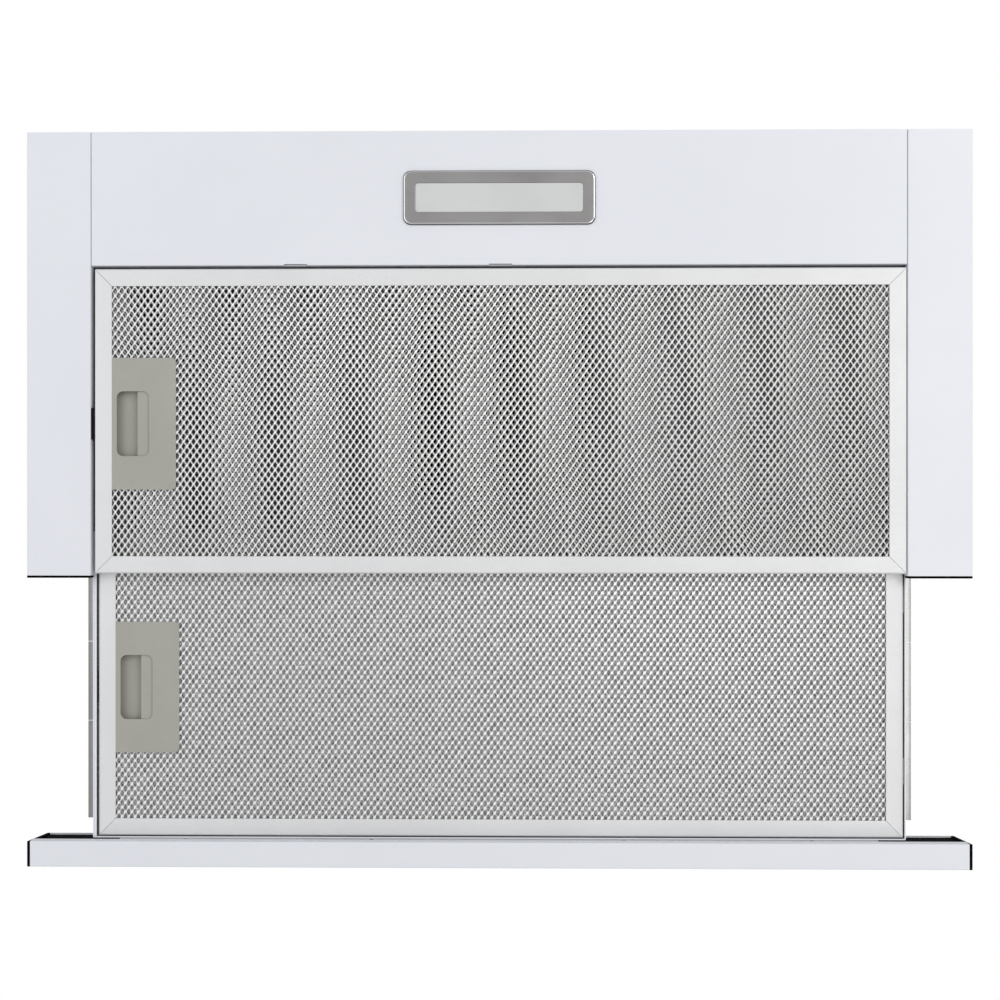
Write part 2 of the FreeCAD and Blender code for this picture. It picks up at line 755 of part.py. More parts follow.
# Drawer: tray, trim bar and the flange between them
def tray_frame():
    wall_top = plate_z - tray_top_drop
    walls = [block(side * tray_half, side * (tray_half - sheet), tray_y0, tray_y1, tray_z, wall_top)
             for side in (-1, 1)]
    ends = [block(-tray_half, tray_half, y, y + sheet, tray_z, tray_end_z)
            for y in (tray_y0, tray_y1 - sheet)]
    inner = tray_half - sheet
    ledge = block(-inner, inner, tray_y0 + sheet, tray_y1 - sheet, ledge_z, ledge_z + sheet)
    ledge = ledge.cut(block(-inner + tray_ledge, inner - tray_ledge, tray_y0 + sheet + tray_ledge,
                            tray_y1 - sheet - tray_ledge, ledge_z - overrun, ledge_z + sheet + overrun))
    lip_z = tray_z + tray_lip_rise
    lip = block(-tray_lip_half, tray_lip_half, tray_y0 - tray_lip, tray_y0, lip_z, lip_z + sheet)
    tray = joined(walls + ends + [ledge, lip])
    middle = latch_middle(front_filter_y0)
    reach = tongue_width / 2 + tongue_play
    low = tray_z + slide_rise - tongue_play / 2
    tools = [block(tray_half - sheet - fold_gap, tray_half + fold_gap, middle - reach, middle + reach,
                   low, low + arm_thick + 2 * tongue_play),
             block(-tray_notch / 2, tray_notch / 2, tray_y0 - tray_lip - overrun, tray_y0 - tray_notch / 2,
                   lip_z - overrun, lip_z + overrun)]
    for place in tab_places(front_filter_y0):
        reach = tab_width / 2 + tab_play
        tools.append(block(-tray_half - fold_gap, -tray_half + sheet + fold_gap, place - reach, place + reach,
                           tray_z + tab_rise - tab_play, tray_z + tab_rise + tab_thick + tab_play))
    return holed(tray, tools + tray_screw_holes())


def tray_screw_spots():
    y = tray_y0 - tray_screw_head - fold_gap
    return [(side * place, y) for place in (tray_screw_outer, tray_screw_inner) for side in (-1, 1)]


def tray_screw_holes():
    high = tray_z + tray_lip_rise + sheet + fold_gap
    return [rod(tray_screw_shank, (x, y, tray_z - overrun), (x, y, high)) for x, y in tray_screw_spots()]


def trim_bracket():
    z1 = tray_z + tray_lip_rise
    back = trim_y + sheet
    plate = block(-tray_lip_half, tray_lip_half, back, tray_y0, z1 - sheet, z1)
    upright = block(-tray_lip_half, tray_lip_half, back, back + sheet, z1 - sheet, z1 + bracket_rise)
    return holed(joined([plate, upright]), tray_screw_holes())


def tray_screws():
    z1 = tray_z + tray_lip_rise - sheet
    screws = []
    for x, y in tray_screw_spots():
        head = rod(tray_screw_head, (x, y, z1 - tray_screw_head_height), (x, y, z1))
        half_slot = screw_slot / 2
        head = head.cut(block(x - tray_screw_head, x + tray_screw_head, y - half_slot, y + half_slot,
                              z1 - tray_screw_head_height - overrun, z1 - tray_screw_head_height / 2))
        screws.append(joined([head, rod(tray_screw_shank, (x, y, z1), (x, y, z1 + tray_screw_length))]))
    return screws


def trim_bar():
    half = half_width - trim_cap_thick
    web = block(-half, half, trim_y, trim_y + sheet, bottom_z, 0)
    low = block(-half, half, trim_y, trim_rear_y, bottom_z, bottom_z + sheet)
    high = block(-half, half, trim_y, trim_rear_y - trim_lip_step, plate_z, 0)
    edge = block(-half, half, trim_rear_y - sheet, trim_rear_y, bottom_z, bottom_z + trim_return)
    return joined([web, low, high, edge])


def trim_cap():
    x0 = half_width - trim_cap_thick
    slant_y = trim_rear_y - trim_lip_step
    plate = prism([(x0, trim_y, bottom_z), (x0, trim_rear_y, bottom_z), (x0, slant_y, 0), (x0, trim_y, 0)],
                  (trim_cap_thick, 0, 0))
    y0, y1 = trim_y + sheet + trim_plug_gap, slant_y - trim_plug_step
    z0, z1 = bottom_z + sheet + trim_plug_gap, plate_z - trim_plug_gap
    plug_x0 = tray_lip_half + trim_plug_end_gap
    plug = block(plug_x0, x0, y0, y1, z0, z1)
    plug = plug.cut(block(plug_x0 - overrun, x0, y0 + trim_plug_wall, y1 - trim_plug_wall,
                          z0 + trim_plug_wall, z1 - trim_plug_wall))
    return joined([plate, plug])


# Ball slides, drawn for the right side
def channel(x_web, x_tip, y0, y1, z0, z1):
    gauge = rail_gauge if x_tip > x_web else -rail_gauge
    web = block(x_web, x_web + gauge, y0, y1, z0, z1)
    flanges = [block(x_web, x_tip, y0, y1, z, z + rail_gauge) for z in (z0, z1 - rail_gauge)]
    return joined([web] + flanges)


def rail_fixed():
    return channel(rail_wall_x, tray_half + rail_gauge, rail_y0, rail_y0 + rail_length, rail_z0, rail_z1)


def rail_inner():
    z0, z1 = rail_z0 + rail_gauge + race_gap, rail_z1 - rail_gauge - race_gap
    rail = channel(tray_half, tray_half + rail_inner_depth, rail_inner_y0,
                   rail_inner_y0 + rail_inner_length, z0, z1)
    tools = [block(tray_half + rail_gauge, tray_half + rail_inner_depth + overrun,
                   rail_inner_y0 + place, rail_inner_y0 + place + rail_notch_width,
                   z0 - overrun, z0 + rail_gauge + fold_gap) for place in rail_notch_places]
    return holed(rail, tools)


def rail_cage():
    y0 = rail_y0 + cage_front_step
    y1 = y0 + cage_length
    rows = (rail_z0 + rail_gauge + race_gap / 2, rail_z1 - rail_gauge - race_gap / 2)
    x0, x1 = tray_half + cage_inner_gap, tray_half + cage_web_reach
    strips = [block(x0, x1, y0, y1, z - cage_sheet / 2, z + cage_sheet / 2) for z in rows]
    web = block(x1 - cage_sheet, x1, y0, y1, rows[0] - cage_sheet / 2, rows[1] + cage_sheet / 2)
    cage = joined(strips + [web])
    ball_x = tray_half + (rail_gauge + rail_inner_depth) / 2
    balls, pockets = [], []
    for z in rows:
        for index in range(ball_count):
            y = (y0 + y1) / 2 + (index - (ball_count - 1) / 2) * ball_pitch
            balls.append(Part.makeSphere(ball_radius, FreeCAD.Vector(ball_x, y, z)))
            pockets.append(rod(ball_radius + ball_play, (ball_x, y, z - ball_radius),
                               (ball_x, y, z + ball_radius)))
    return [holed(cage, pockets)] + balls


# Control fascia with two sliding switches
def fascia_middle():
    return (fascia_z + plate_z) / 2


def knob_slot(place, travel, y0, y1):
    z = fascia_middle()
    half = knob_stem / 2 + knob_gap
    return block(place - half, place + travel + half, y0, y1, z - half, z + half)


def control_fascia():
    half = tray_half - sheet - fascia_end_gap
    face = block(-half, half, front_y, front_y + sheet, fascia_z, plate_z)
    flange = block(-half, half, front_y, front_y + fascia_flange, plate_z - sheet, plate_z)
    hem = block(-half, half, front_y, front_y + fascia_hem, fascia_z, fascia_z + sheet)
    y0, y1 = front_y - overrun, front_y + sheet + fold_gap
    slots = [knob_slot(light_place, light_travel, y0, y1), knob_slot(speed_place, speed_travel, y0, y1)]
    return holed(joined([face, flange, hem]), slots)


def switch_housing(place, travel):
    z = fascia_middle()
    x0 = place - knob_block / 2 - switch_end
    x1 = place + travel + knob_block / 2 + switch_end
    z0, z1 = z - switch_height / 2, z + switch_height / 2
    y0 = front_y + fascia_hem
    box = block(x0, x1, y0, y0 + switch_depth, z0, z1)
    room = block(x0 + switch_wall, x1 - switch_wall, y0 + switch_wall, y0 + switch_depth - switch_wall,
                 z0 + switch_wall, z1 - switch_wall)
    way = knob_slot(place, travel, y0 - overrun, y0 + switch_wall + fold_gap)
    ears = [block(x, x + switch_wall, front_y + sheet, y0 + switch_wall, z0 + switch_wall, z1 - switch_wall)
            for x in (x0, x1 - switch_wall)]
    return joined([holed(box, [room, way])] + ears)


def switch_knob(place):
    z = fascia_middle()
    y1 = front_y - knob_gap
    y0 = y1 - knob_depth
    inner_y0 = front_y + fascia_hem + switch_wall + knob_gap
    cap = rounded_cap(place, y0, y1, z)
    half = knob_stem / 2
    stem = block(place - half, place + half, y1, inner_y0, z - half, z + half)
    foot = block(place - knob_block / 2, place + knob_block / 2, inner_y0, inner_y0 + knob_block,
                 z - knob_block / 2, z + knob_block / 2)
    ribs = [block(place + side * knob_rib, place + side * 2 * knob_rib, y0 - knob_rib / 2, y0,
                  z - knob_height / 2 + knob_rib, z + knob_height / 2 - knob_rib) for side in (-1, 1)]
    return joined([cap, stem, foot] + ribs)


def rounded_cap(place, y0, y1, z):
    cap = block(place - knob_width / 2, place + knob_width / 2, y0, y1,
                z - knob_height / 2, z + knob_height / 2)
    edges = [e for e in cap.Edges if e.BoundBox.YLength > knob_depth / 2]
    return cap.makeFillet(knob_rib, edges)


# Casing that stands on the top plate
def side_screw_spots():
    spots = []
    for y in (casing_y0 + sheet + casing_screw_inset, casing_y1 - sheet - casing_screw_inset):
        for z in (casing_screw_low, casing_screw_high):
            spots.append((y, z))
    return spots


def side_screw_holes():
    return [rod(casing_screw_radius, (-casing_half - overrun, y, z), (casing_half + overrun, y, z))
            for y, z in side_screw_spots()]


def collar_screw_spots():
    return [(x, collar_place + y) for x in (-collar_screw_place, collar_screw_place)
            for y in (-collar_screw_place, collar_screw_place)]


def collar_screw_holes():
    return [rod(casing_screw_radius, (x, y, casing_under - overrun),
                (x, y, casing_height + collar_flange_thick + overrun)) for x, y in collar_screw_spots()]


def gland_axis():
    return terminal_place, casing_y1 - terminal_back


def casing_shell():
    y0, y1 = casing_y0 + sheet, casing_y1 - sheet
    sides = [block(side * casing_half, side * (casing_half - sheet), y0, y1, 0, casing_height)
             for side in (-1, 1)]
    feet = [block(side * (casing_half - sheet), side * (casing_half - sheet - casing_foot), y0, y1, 0, sheet)
            for side in (-1, 1)]
    top = block(-casing_half, casing_half, y0, y1, casing_under, casing_height)
    x, y = gland_axis()
    tools = [rod(collar_radius - collar_wall, (0, collar_place, casing_under - overrun),
                 (0, collar_place, casing_height + overrun)),
             rod(gland_radius, (x, y, casing_under - overrun), (x, y, casing_height + overrun))]
    for side in (-1, 1):
        for end in (-1, 1):
            foot_x = side * (casing_half - sheet - casing_foot / 2)
            foot_y = end * foot_screw_spacing / 2
            tools.append(rod(casing_screw_radius, (foot_x, foot_y, -overrun),
                             (foot_x, foot_y, sheet + overrun)))
    return holed(joined(sides + feet + [top]), tools + side_screw_holes() + collar_screw_holes())


def casing_panel(y_face, inward):
    # A flat panel with folded side flanges that lie inside the shell's sides.
    y_in = y_face + inward * sheet
    panel = block(-casing_half, casing_half, y_face, y_in, 0, casing_height)
    inside = casing_half - sheet
    flanges = [block(side * inside, side * (inside - sheet), y_in, y_in + inward * casing_flange,
                     sheet, casing_under) for side in (-1, 1)]
    return holed(joined([panel] + flanges), side_screw_holes())


def screw(start, direction, head, head_height, shank, length):
    start, direction = FreeCAD.Vector(*start), FreeCAD.Vector(*direction)
    top = Part.makeCylinder(head, head_height, start, direction)
    rim = [e for e in top.Edges if abs((e.CenterOfMass - start).dot(direction) - head_height) < fold_gap]
    top = top.makeFillet(head_height / 2, rim)
    return joined([top, Part.makeCylinder(shank, length, start - direction * length, direction)])


def casing_screws():
    sizes = (casing_screw_head, casing_screw_head_height, casing_screw_radius, casing_screw_length)
    screws = [screw((side * casing_half, y, z), (side, 0, 0), *sizes)
              for side in (-1, 1) for y, z in side_screw_spots()]
    screws += [screw((x, y, casing_height + collar_flange_thick), (0, 0, 1), *sizes)
               for x, y in collar_screw_spots()]
    foot_x = casing_half - sheet - casing_foot / 2
    screws += [screw((side * foot_x, end * foot_screw_spacing / 2, plate_z), (0, 0, -1), *sizes)
               for side in (-1, 1) for end in (-1, 1)]
    return screws


# Outlet collar with its two non-return flaps
def outlet_collar():
    half = collar_flange_half
    z0 = casing_height
    z1 = z0 + collar_flange_thick
    flange = rounded_block(-half, half, collar_place - half, collar_place + half, z0, z1,
                           collar_flange_corner)
    pipe = rod(collar_radius, (0, collar_place, z0), (0, collar_place, z0 + collar_height))
    bore = rod(collar_radius - collar_wall, (0, collar_place, z0 - overrun),
               (0, collar_place, z0 + collar_height + overrun))
    seat = collar_radius - collar_wall + flap_pin_seat
    pin_way = rod(flap_pin_radius, (-seat, collar_place, flap_z), (seat, collar_place, flap_z))
    return holed(joined([flange, pipe]), [bore, pin_way] + collar_screw_holes())


def flap_pin():
    seat = collar_radius - collar_wall + flap_pin_seat
    return rod(flap_pin_radius, (-seat, collar_place, flap_z), (seat, collar_place, flap_z))


def flap(side):
    radius = collar_radius - collar_wall - flap_edge_gap
    start = knuckle_radius + knuckle_clear
    low, high = flap_z - flap_thick / 2, flap_z + flap_thick / 2
    disc = rod(radius, (0, collar_place, low), (0, collar_place, high))
    plate = disc.common(block(-radius, radius, collar_place + side * start, collar_place + side * radius,
                              low, high))
    places = [side * knuckle_spacing / 2 + turn * knuckle_spacing for turn in (-1, 1)]
    parts = [plate]
    for x in places:
        x0, x1 = x - knuckle_length / 2, x + knuckle_length / 2
        parts.append(rod(knuckle_radius, (x0, collar_place, flap_z), (x1, collar_place, flap_z)))
        parts.append(block(x0, x1, collar_place, collar_place + side * (start + flap_thick), low, high))
    bore = rod(flap_pin_radius + flap_pin_gap, (-radius, collar_place, flap_z),
               (radius, collar_place, flap_z))
    return joined(parts).cut(bore)


# Blower with its motor
def scroll_outline(grow, top_z, x, lead_angle):
    # The snail shape in the YZ plane, grown by a wall: tongue, over the top, front, foot, rear and outlet.
    reach = impeller_radius + grow
    y, z = blower_place, blower_rise
    outlet_front = (collar_place - collar_radius - grow, top_z - overrun)
    outlet_rear = (collar_place + collar_radius + grow, top_z - overrun)
    # The tongue lies a little past the point where a line from the outlet touches the wheel's clearance.
    tongue_r = reach + scroll_tongue_gap
    across, rise = outlet_front[0] - y, outlet_front[1] - z
    touch = math.atan2(rise, across) - math.acos(tongue_r / math.hypot(across, rise))
    turn = touch + math.radians(lead_angle)
    tongue = (y + tongue_r * math.cos(turn), z + tongue_r * math.sin(turn))
    top = (y, z + reach + scroll_top_gap)
    front = (y - reach - scroll_front_gap, z)
    slant = math.sqrt(1 / 2)
    foot_r = reach + scroll_foot_gap
    foot = (y, z - foot_r)
    under = (y - foot_r * slant, z - foot_r * slant)
    rear_x = y + reach + scroll_rear_gap
    bend = foot_r
    run = (rear_x - bend, z - foot_r)
    bent = (rear_x - bend + bend * slant, z - bend * slant)
    rear = (rear_x, z)
    lid = [(outlet_rear[0], top_z), (outlet_front[0], top_z)]
    p = {name: FreeCAD.Vector(x, *place) for name, place in
         dict(tongue=tongue, top=top, front=front, under=under, foot=foot, run=run, bent=bent, rear=rear,
              out_rear=outlet_rear, out_front=outlet_front, lid_rear=lid[0], lid_front=lid[1]).items()}
    edges = [Part.Arc(p["tongue"], p["top"], p["front"]).toShape(),
             Part.Arc(p["front"], p["under"], p["foot"]).toShape(),
             Part.makeLine(p["foot"], p["run"]),
             Part.Arc(p["run"], p["bent"], p["rear"]).toShape(),
             Part.makeLine(p["rear"], p["out_rear"]),
             Part.makeLine(p["out_rear"], p["lid_rear"]),
             Part.makeLine(p["lid_rear"], p["lid_front"]),
             Part.makeLine(p["lid_front"], p["out_front"]),
             Part.makeLine(p["out_front"], p["tongue"])]
    return Part.Face(Part.Wire(edges))


def scroll():
    outer = scroll_outline(scroll_wall, casing_under, 0, notch_lead_angle)
    outer = outer.extrude(FreeCAD.Vector(scroll_half, 0, 0))
    inner = scroll_outline(0, casing_under + overrun, -overrun, tongue_lead_angle)
    inner = inner.extrude(FreeCAD.Vector(scroll_half - scroll_wall + overrun, 0, 0))
    lip_reach = collar_radius + scroll_wall + scroll_flange
    lip = block(0, scroll_half + scroll_flange, collar_place - lip_reach, collar_place + lip_reach,
                casing_under - scroll_wall, casing_under)
    axis_y, axis_z = blower_place, blower_rise
    ring = rod(inlet_radius + scroll_wall, (scroll_half - scroll_wall, axis_y, axis_z),
               (scroll_half + inlet_lip, axis_y, axis_z))
    eye = rod(inlet_radius, (0, axis_y, axis_z), (scroll_half + inlet_lip + overrun, axis_y, axis_z))
    return joined([outer, lip, ring]).cut(inner).cut(eye).cut(Part.makeCompound(collar_screw_holes()))


def impeller():
    y, z = blower_place, blower_rise
    inner = impeller_radius - blade_depth
    disc = rod(impeller_radius, (-hub_disc / 2, y, z), (hub_disc / 2, y, z))
    rings = [tube(impeller_radius, inner + blade_depth / 2, (side * impeller_half, y, z),
                  (side * (impeller_half - hub_disc), y, z)) for side in (-1, 1)]
    hub_x0 = -hub_length / 2
    hub = rod(hub_radius, (hub_x0, y, z), (hub_x0 + hub_length, y, z))
    blade = block(-impeller_half, impeller_half, -blade_thick / 2, blade_thick / 2,
                  inner + blade_thick, impeller_radius - blade_thick)
    blade.rotate(FreeCAD.Vector(0, 0, impeller_radius - blade_depth / 2), FreeCAD.Vector(1, 0, 0), blade_lean)
    blade.translate(FreeCAD.Vector(0, y, z))
    blades = []
    for index in range(blade_count):
        copy = blade.copy()
        copy.rotate(FreeCAD.Vector(0, y, z), FreeCAD.Vector(1, 0, 0), 360 * index / blade_count)
        blades.append(copy)
    shaft_end = motor_start - shaft_reach
    bore = rod(shaft_radius + shaft_gap, (shaft_end - shaft_gap, y, z), (hub_x0 + hub_length + overrun, y, z))
    return joined([disc, hub] + rings + blades).cut(bore)


def motor():
    y, z = blower_place, blower_rise
    can = rod(motor_radius, (motor_start, y, z), (motor_end, y, z))
    rims = [e for e in can.Edges if e.BoundBox.XLength < motor_rib / 2]
    can = can.makeFillet(motor_rib, rims)
    boss = rod(motor_boss, (motor_start - motor_boss_length, y, z), (motor_start + motor_rib, y, z))
    shaft = rod(shaft_radius, (motor_start - shaft_reach, y, z), (motor_start + motor_rib, y, z))
    return joined([can, boss, shaft])


def arm_turns():
    return [90 + 360 * index / bracket_arm_count for index in range(bracket_arm_count)]


def motor_bracket():
    y, z = blower_place, blower_rise
    x0 = bracket_x0
    x1 = x0 + bracket_thick
    arm = block(x0, x1, -bracket_arm / 2, bracket_arm / 2, motor_radius + bracket_ring / 2, bracket_reach)
    arms = []
    for turn in arm_turns():
        copy = arm.copy()
        copy.rotate(FreeCAD.Vector(0, 0, 0), FreeCAD.Vector(1, 0, 0), turn - 90)
        copy.translate(FreeCAD.Vector(0, y, z))
        arms.append(copy)
    ring = rod(motor_radius + bracket_ring, (x0, y, z), (x1, y, z))
    seat = rod(motor_radius, (x0 - overrun, y, z), (x1 + overrun, y, z))
    return joined([ring] + arms).cut(seat)


def motor_mounts():
    mounts = []
    for turn in arm_turns():
        angle = math.radians(turn)
        y = blower_place + mount_place * math.cos(angle)
        z = blower_rise + mount_place * math.sin(angle)
        mounts.append(rod(mount_radius, (scroll_half, y, z), (bracket_x0, y, z)))
    return mounts


# Capacitor, terminal box and cable gland
def capacitor():
    y = casing_y1 - capacitor_back
    z = clip_thick * 2 + capacitor_radius
    x0, x1 = capacitor_place - capacitor_length / 2, capacitor_place + capacitor_length / 2
    can = rod(capacitor_radius, (x0, y, z), (x1, y, z))
    clip_x0, clip_x1 = capacitor_place - clip_width / 2, capacitor_place + clip_width / 2
    band = tube(capacitor_radius + clip_thick, capacitor_radius, (clip_x0, y, z), (clip_x1, y, z))
    reach = capacitor_radius + clip_foot
    foot = block(clip_x0, clip_x1, y - reach, y + reach, 0, clip_thick)
    clip = joined([band, foot, block(clip_x0, clip_x1, y - clip_foot, y + clip_foot, 0, 2 * clip_thick)])
    return [can, clip.cut(rod(capacitor_radius, (clip_x0, y, z), (clip_x1, y, z)))]


def terminal_box():
    x, y = gland_axis()
    z0, z1 = casing_under - terminal_height, casing_under
    half_x, half_y = terminal_length / 2, terminal_width / 2
    box = block(x - half_x, x + half_x, y - half_y, y + half_y, z0, z1)
    room = block(x - half_x + terminal_wall, x + half_x - terminal_wall, y - half_y + terminal_wall,
                 y + half_y - terminal_wall, z0 + terminal_wall, z1 + overrun)
    strip_z = z0 + terminal_wall
    strip = block(x - block_length / 2, x + block_length / 2, y - block_width / 2, y + block_width / 2,
                  strip_z, strip_z + block_height)
    return [box.cut(room), strip]


def cable_gland():
    x, y = gland_axis()
    body = rod(gland_radius, (x, y, casing_under - gland_below), (x, y, casing_height + gland_height))
    angles = [2 * math.pi * index / gland_nut_sides for index in range(gland_nut_sides)]
    nut = prism([(x + gland_nut * math.cos(a), y + gland_nut * math.sin(a), casing_height) for a in angles],
                (0, 0, gland_nut_height))
    lower = rod(gland_nut, (x, y, casing_under - gland_below / 2), (x, y, casing_under))
    bore = rod(gland_bore, (x, y, casing_under - gland_below - overrun),
               (x, y, casing_height + gland_height + overrun))
    return joined([body, nut, lower]).cut(bore)


def main():
    os.makedirs("parts", exist_ok=True)
    save("base_frame", base_frame())
    save_pair("rail_wall", rail_wall())
    save("side_cover_right", side_cover(1))
    save("side_cover_left", side_cover(-1))
    save_pair("front_cap", front_cap())
    save("lamp_panel", lamp_panel())
    save("lamp_bezel", lamp_bezel())
    save("lamp_lens", lamp_lens())
    save("lamp_housing", lamp_housing())
    save("led_board", led_board())
    save("led_driver", led_driver())
    save_filter("rear", rear_filter_y0, bottom_z)
    save_filter("front", front_filter_y0, tray_z)
    save("tray_frame", tray_frame())
    save("trim_bracket", trim_bracket())
    save("tray_screws", tray_screws())
    save("trim_bar", trim_bar())
    save_pair("trim_cap", trim_cap())
    save_pair("rail_fixed", rail_fixed())
    save_pair("rail_inner", rail_inner())
    save("rail_cage_right", rail_cage())
    save("rail_cage_left", [other_side(piece) for piece in rail_cage()])
    save("control_fascia", control_fascia())
    save("light_switch_housing", switch_housing(light_place, light_travel))
    save("light_switch_knob", switch_knob(light_place))
    save("speed_switch_housing", switch_housing(speed_place, speed_travel))
    save("speed_switch_knob", switch_knob(speed_place))
    save("casing_shell", casing_shell())
    save("casing_front", casing_panel(casing_y0, 1))
    save("casing_back", casing_panel(casing_y1, -1))
    save("casing_screws", casing_screws())
    save("outlet_collar", outlet_collar())
    save("flap_pin", flap_pin())
    save("flap_front", flap(-1))
    save("flap_rear", flap(1))
    save("scroll_right", scroll())
    save("scroll_left", other_side(scroll()))
    save("impeller", impeller())
    save("motor", motor())
    save("motor_bracket", motor_bracket())
    save("motor_mounts", motor_mounts())
    save("capacitor", capacitor())
    save("terminal_box", terminal_box())
    save("cable_gland", cable_gland())


main()
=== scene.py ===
import bmesh
import bpy
import json
import math
from mathutils import Matrix, Vector


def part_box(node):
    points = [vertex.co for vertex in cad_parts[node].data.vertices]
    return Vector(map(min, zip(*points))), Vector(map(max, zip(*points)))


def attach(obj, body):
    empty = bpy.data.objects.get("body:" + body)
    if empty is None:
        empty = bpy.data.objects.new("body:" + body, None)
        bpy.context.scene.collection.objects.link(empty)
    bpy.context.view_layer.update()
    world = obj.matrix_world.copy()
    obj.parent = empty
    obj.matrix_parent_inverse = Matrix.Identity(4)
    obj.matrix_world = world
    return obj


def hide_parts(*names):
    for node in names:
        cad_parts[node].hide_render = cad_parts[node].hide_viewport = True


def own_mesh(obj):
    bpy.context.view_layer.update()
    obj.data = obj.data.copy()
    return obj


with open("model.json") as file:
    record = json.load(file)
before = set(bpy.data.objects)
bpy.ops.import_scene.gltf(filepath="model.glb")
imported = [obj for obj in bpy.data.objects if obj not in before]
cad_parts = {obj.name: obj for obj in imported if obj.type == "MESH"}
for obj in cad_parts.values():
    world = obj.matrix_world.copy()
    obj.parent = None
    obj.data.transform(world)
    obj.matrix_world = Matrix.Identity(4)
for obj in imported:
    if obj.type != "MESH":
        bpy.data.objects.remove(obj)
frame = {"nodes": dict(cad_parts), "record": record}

nodes = frame["nodes"]
scene = bpy.context.scene
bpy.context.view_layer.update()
mm = 0.001
turn90 = math.radians(90)


# Small helpers for meshes
def vector(x, y, z):
    return Vector((x, y, z))


def freshMesh():
    return bmesh.new()


def addMesh(whole, part):
    # moves everything that part holds into whole
    data = bpy.data.meshes.new("part")
    part.to_mesh(data)
    part.free()
    whole.from_mesh(data)
    bpy.data.meshes.remove(data)


def addBox(mesh, x0, x1, y0, y1, z0, z1):
    middle = Matrix.Translation(((x0 + x1) / 2, (y0 + y1) / 2, (z0 + z1) / 2))
    size = Matrix.Diagonal((x1 - x0, y1 - y0, z1 - z0, 1))
    return bmesh.ops.create_cube(mesh, size=1, matrix=middle @ size)["verts"]


def everything(mesh):
    return list(mesh.verts) + list(mesh.edges) + list(mesh.faces)


def onlyVerts(geometry):
    return [g for g in geometry if isinstance(g, bmesh.types.BMVert)]


def cutPlane(mesh, point, normal, clear):
    # cuts the mesh at a plane; clear drops what lies on the normal's side
    bmesh.ops.bisect_plane(mesh, geom=everything(mesh), dist=1e-7, plane_co=point, plane_no=normal,
                           clear_outer=clear)


def closeEnds(mesh):
    openEdges = [e for e in mesh.edges if e.is_boundary]
    bmesh.ops.holes_fill(mesh, edges=openEdges, sides=0)


def bevelEdges(mesh, edges, width, segments=2, clamp=True):
    return bmesh.ops.bevel(mesh, geom=list(edges), offset=width, offset_type="OFFSET", segments=segments,
                           profile=0.5, affect="EDGES", clamp_overlap=clamp, loop_slide=True, material=-1)


def sharpEdges(mesh, degrees=30):
    limit = math.radians(degrees)
    return [e for e in mesh.edges if len(e.link_faces) == 2 and e.calc_face_angle(0) > limit]


def roundedBox(mesh, x0, x1, y0, y1, z0, z1, width, segments=2):
    verts = set(addBox(mesh, x0, x1, y0, y1, z0, z1))
    bevelEdges(mesh, [e for e in mesh.edges if verts.issuperset(e.verts)], width, segments)


def roundedFace(mesh, x0, x1, y0, y1, z, radii, segments=4):
    # one flat face; radii go round from the corner with the lowest X and Y
    corners = [mesh.verts.new(p) for p in ((x0, y0, z), (x1, y0, z), (x1, y1, z), (x0, y1, z))]
    face = mesh.faces.new(corners)
    for corner, radius in zip(corners, radii):
        bmesh.ops.bevel(mesh, geom=[corner], offset=radius, offset_type="OFFSET", segments=segments,
                        profile=0.5, affect="VERTICES", clamp_overlap=True, material=-1)
    mesh.faces.ensure_lookup_table()
    return mesh.faces[-1]


def plateWithHole(mesh, outer, hole, thick, segments=4):
    # outer and hole are (x0, x1, y0, y1, z, radii); the plate is their difference, given a thickness
    rims = []
    for shape in (outer, hole):
        before = set(mesh.edges)
        face = roundedFace(mesh, *shape, segments=segments)
        rims += [e for e in mesh.edges if e not in before]
        bmesh.ops.delete(mesh, geom=[face], context="FACES_ONLY")
    made = bmesh.ops.bridge_loops(mesh, edges=rims)["faces"]
    raised = bmesh.ops.extrude_face_region(mesh, geom=made)["geom"]
    bmesh.ops.translate(mesh, vec=(0, 0, thick), verts=onlyVerts(raised))
    bmesh.ops.recalc_face_normals(mesh, faces=mesh.faces)


def makePiece(name, mesh, material, body, replaced=(), smooth=35, extraMaterials=(), even=True):
    data = bpy.data.meshes.new(name)
    mesh.to_mesh(data)
    mesh.free()
    for m in (material, *extraMaterials):
        data.materials.append(m)
    data.shade_smooth()
    data.set_sharp_from_angle(angle=math.radians(smooth))
    piece = bpy.data.objects.new(name, data)
    scene.collection.objects.link(piece)
    if even:
        # flat faces keep their own shading beside the rounded edges
        piece.modifiers.new("evenShading", "WEIGHTED_NORMAL").keep_sharp = True
    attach(piece, body)
    if replaced:
        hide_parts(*replaced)
    return piece


def paintFaces(mesh, test, index):
    for face in mesh.faces:
        if test(face.calc_center_median(), face.normal):
            face.material_index = index


# Small helpers for materials
def addNode(tree, kind, settings=None, **values):
    node = tree.nodes.new(kind)
    for key, value in (settings or {}).items():
        setattr(node, key, value)
    for key, value in values.items():
        node.inputs[key].default_value = value
    return node


def newGroup(name, inputs, outputs):
    group = bpy.data.node_groups.new(name, "ShaderNodeTree")
    for label, kind, value in inputs:
        group.interface.new_socket(label, in_out="INPUT", socket_type=kind).default_value = value
    for label, kind in outputs:
        group.interface.new_socket(label, in_out="OUTPUT", socket_type=kind)
    return group, group.nodes.new("NodeGroupInput"), group.nodes.new("NodeGroupOutput")


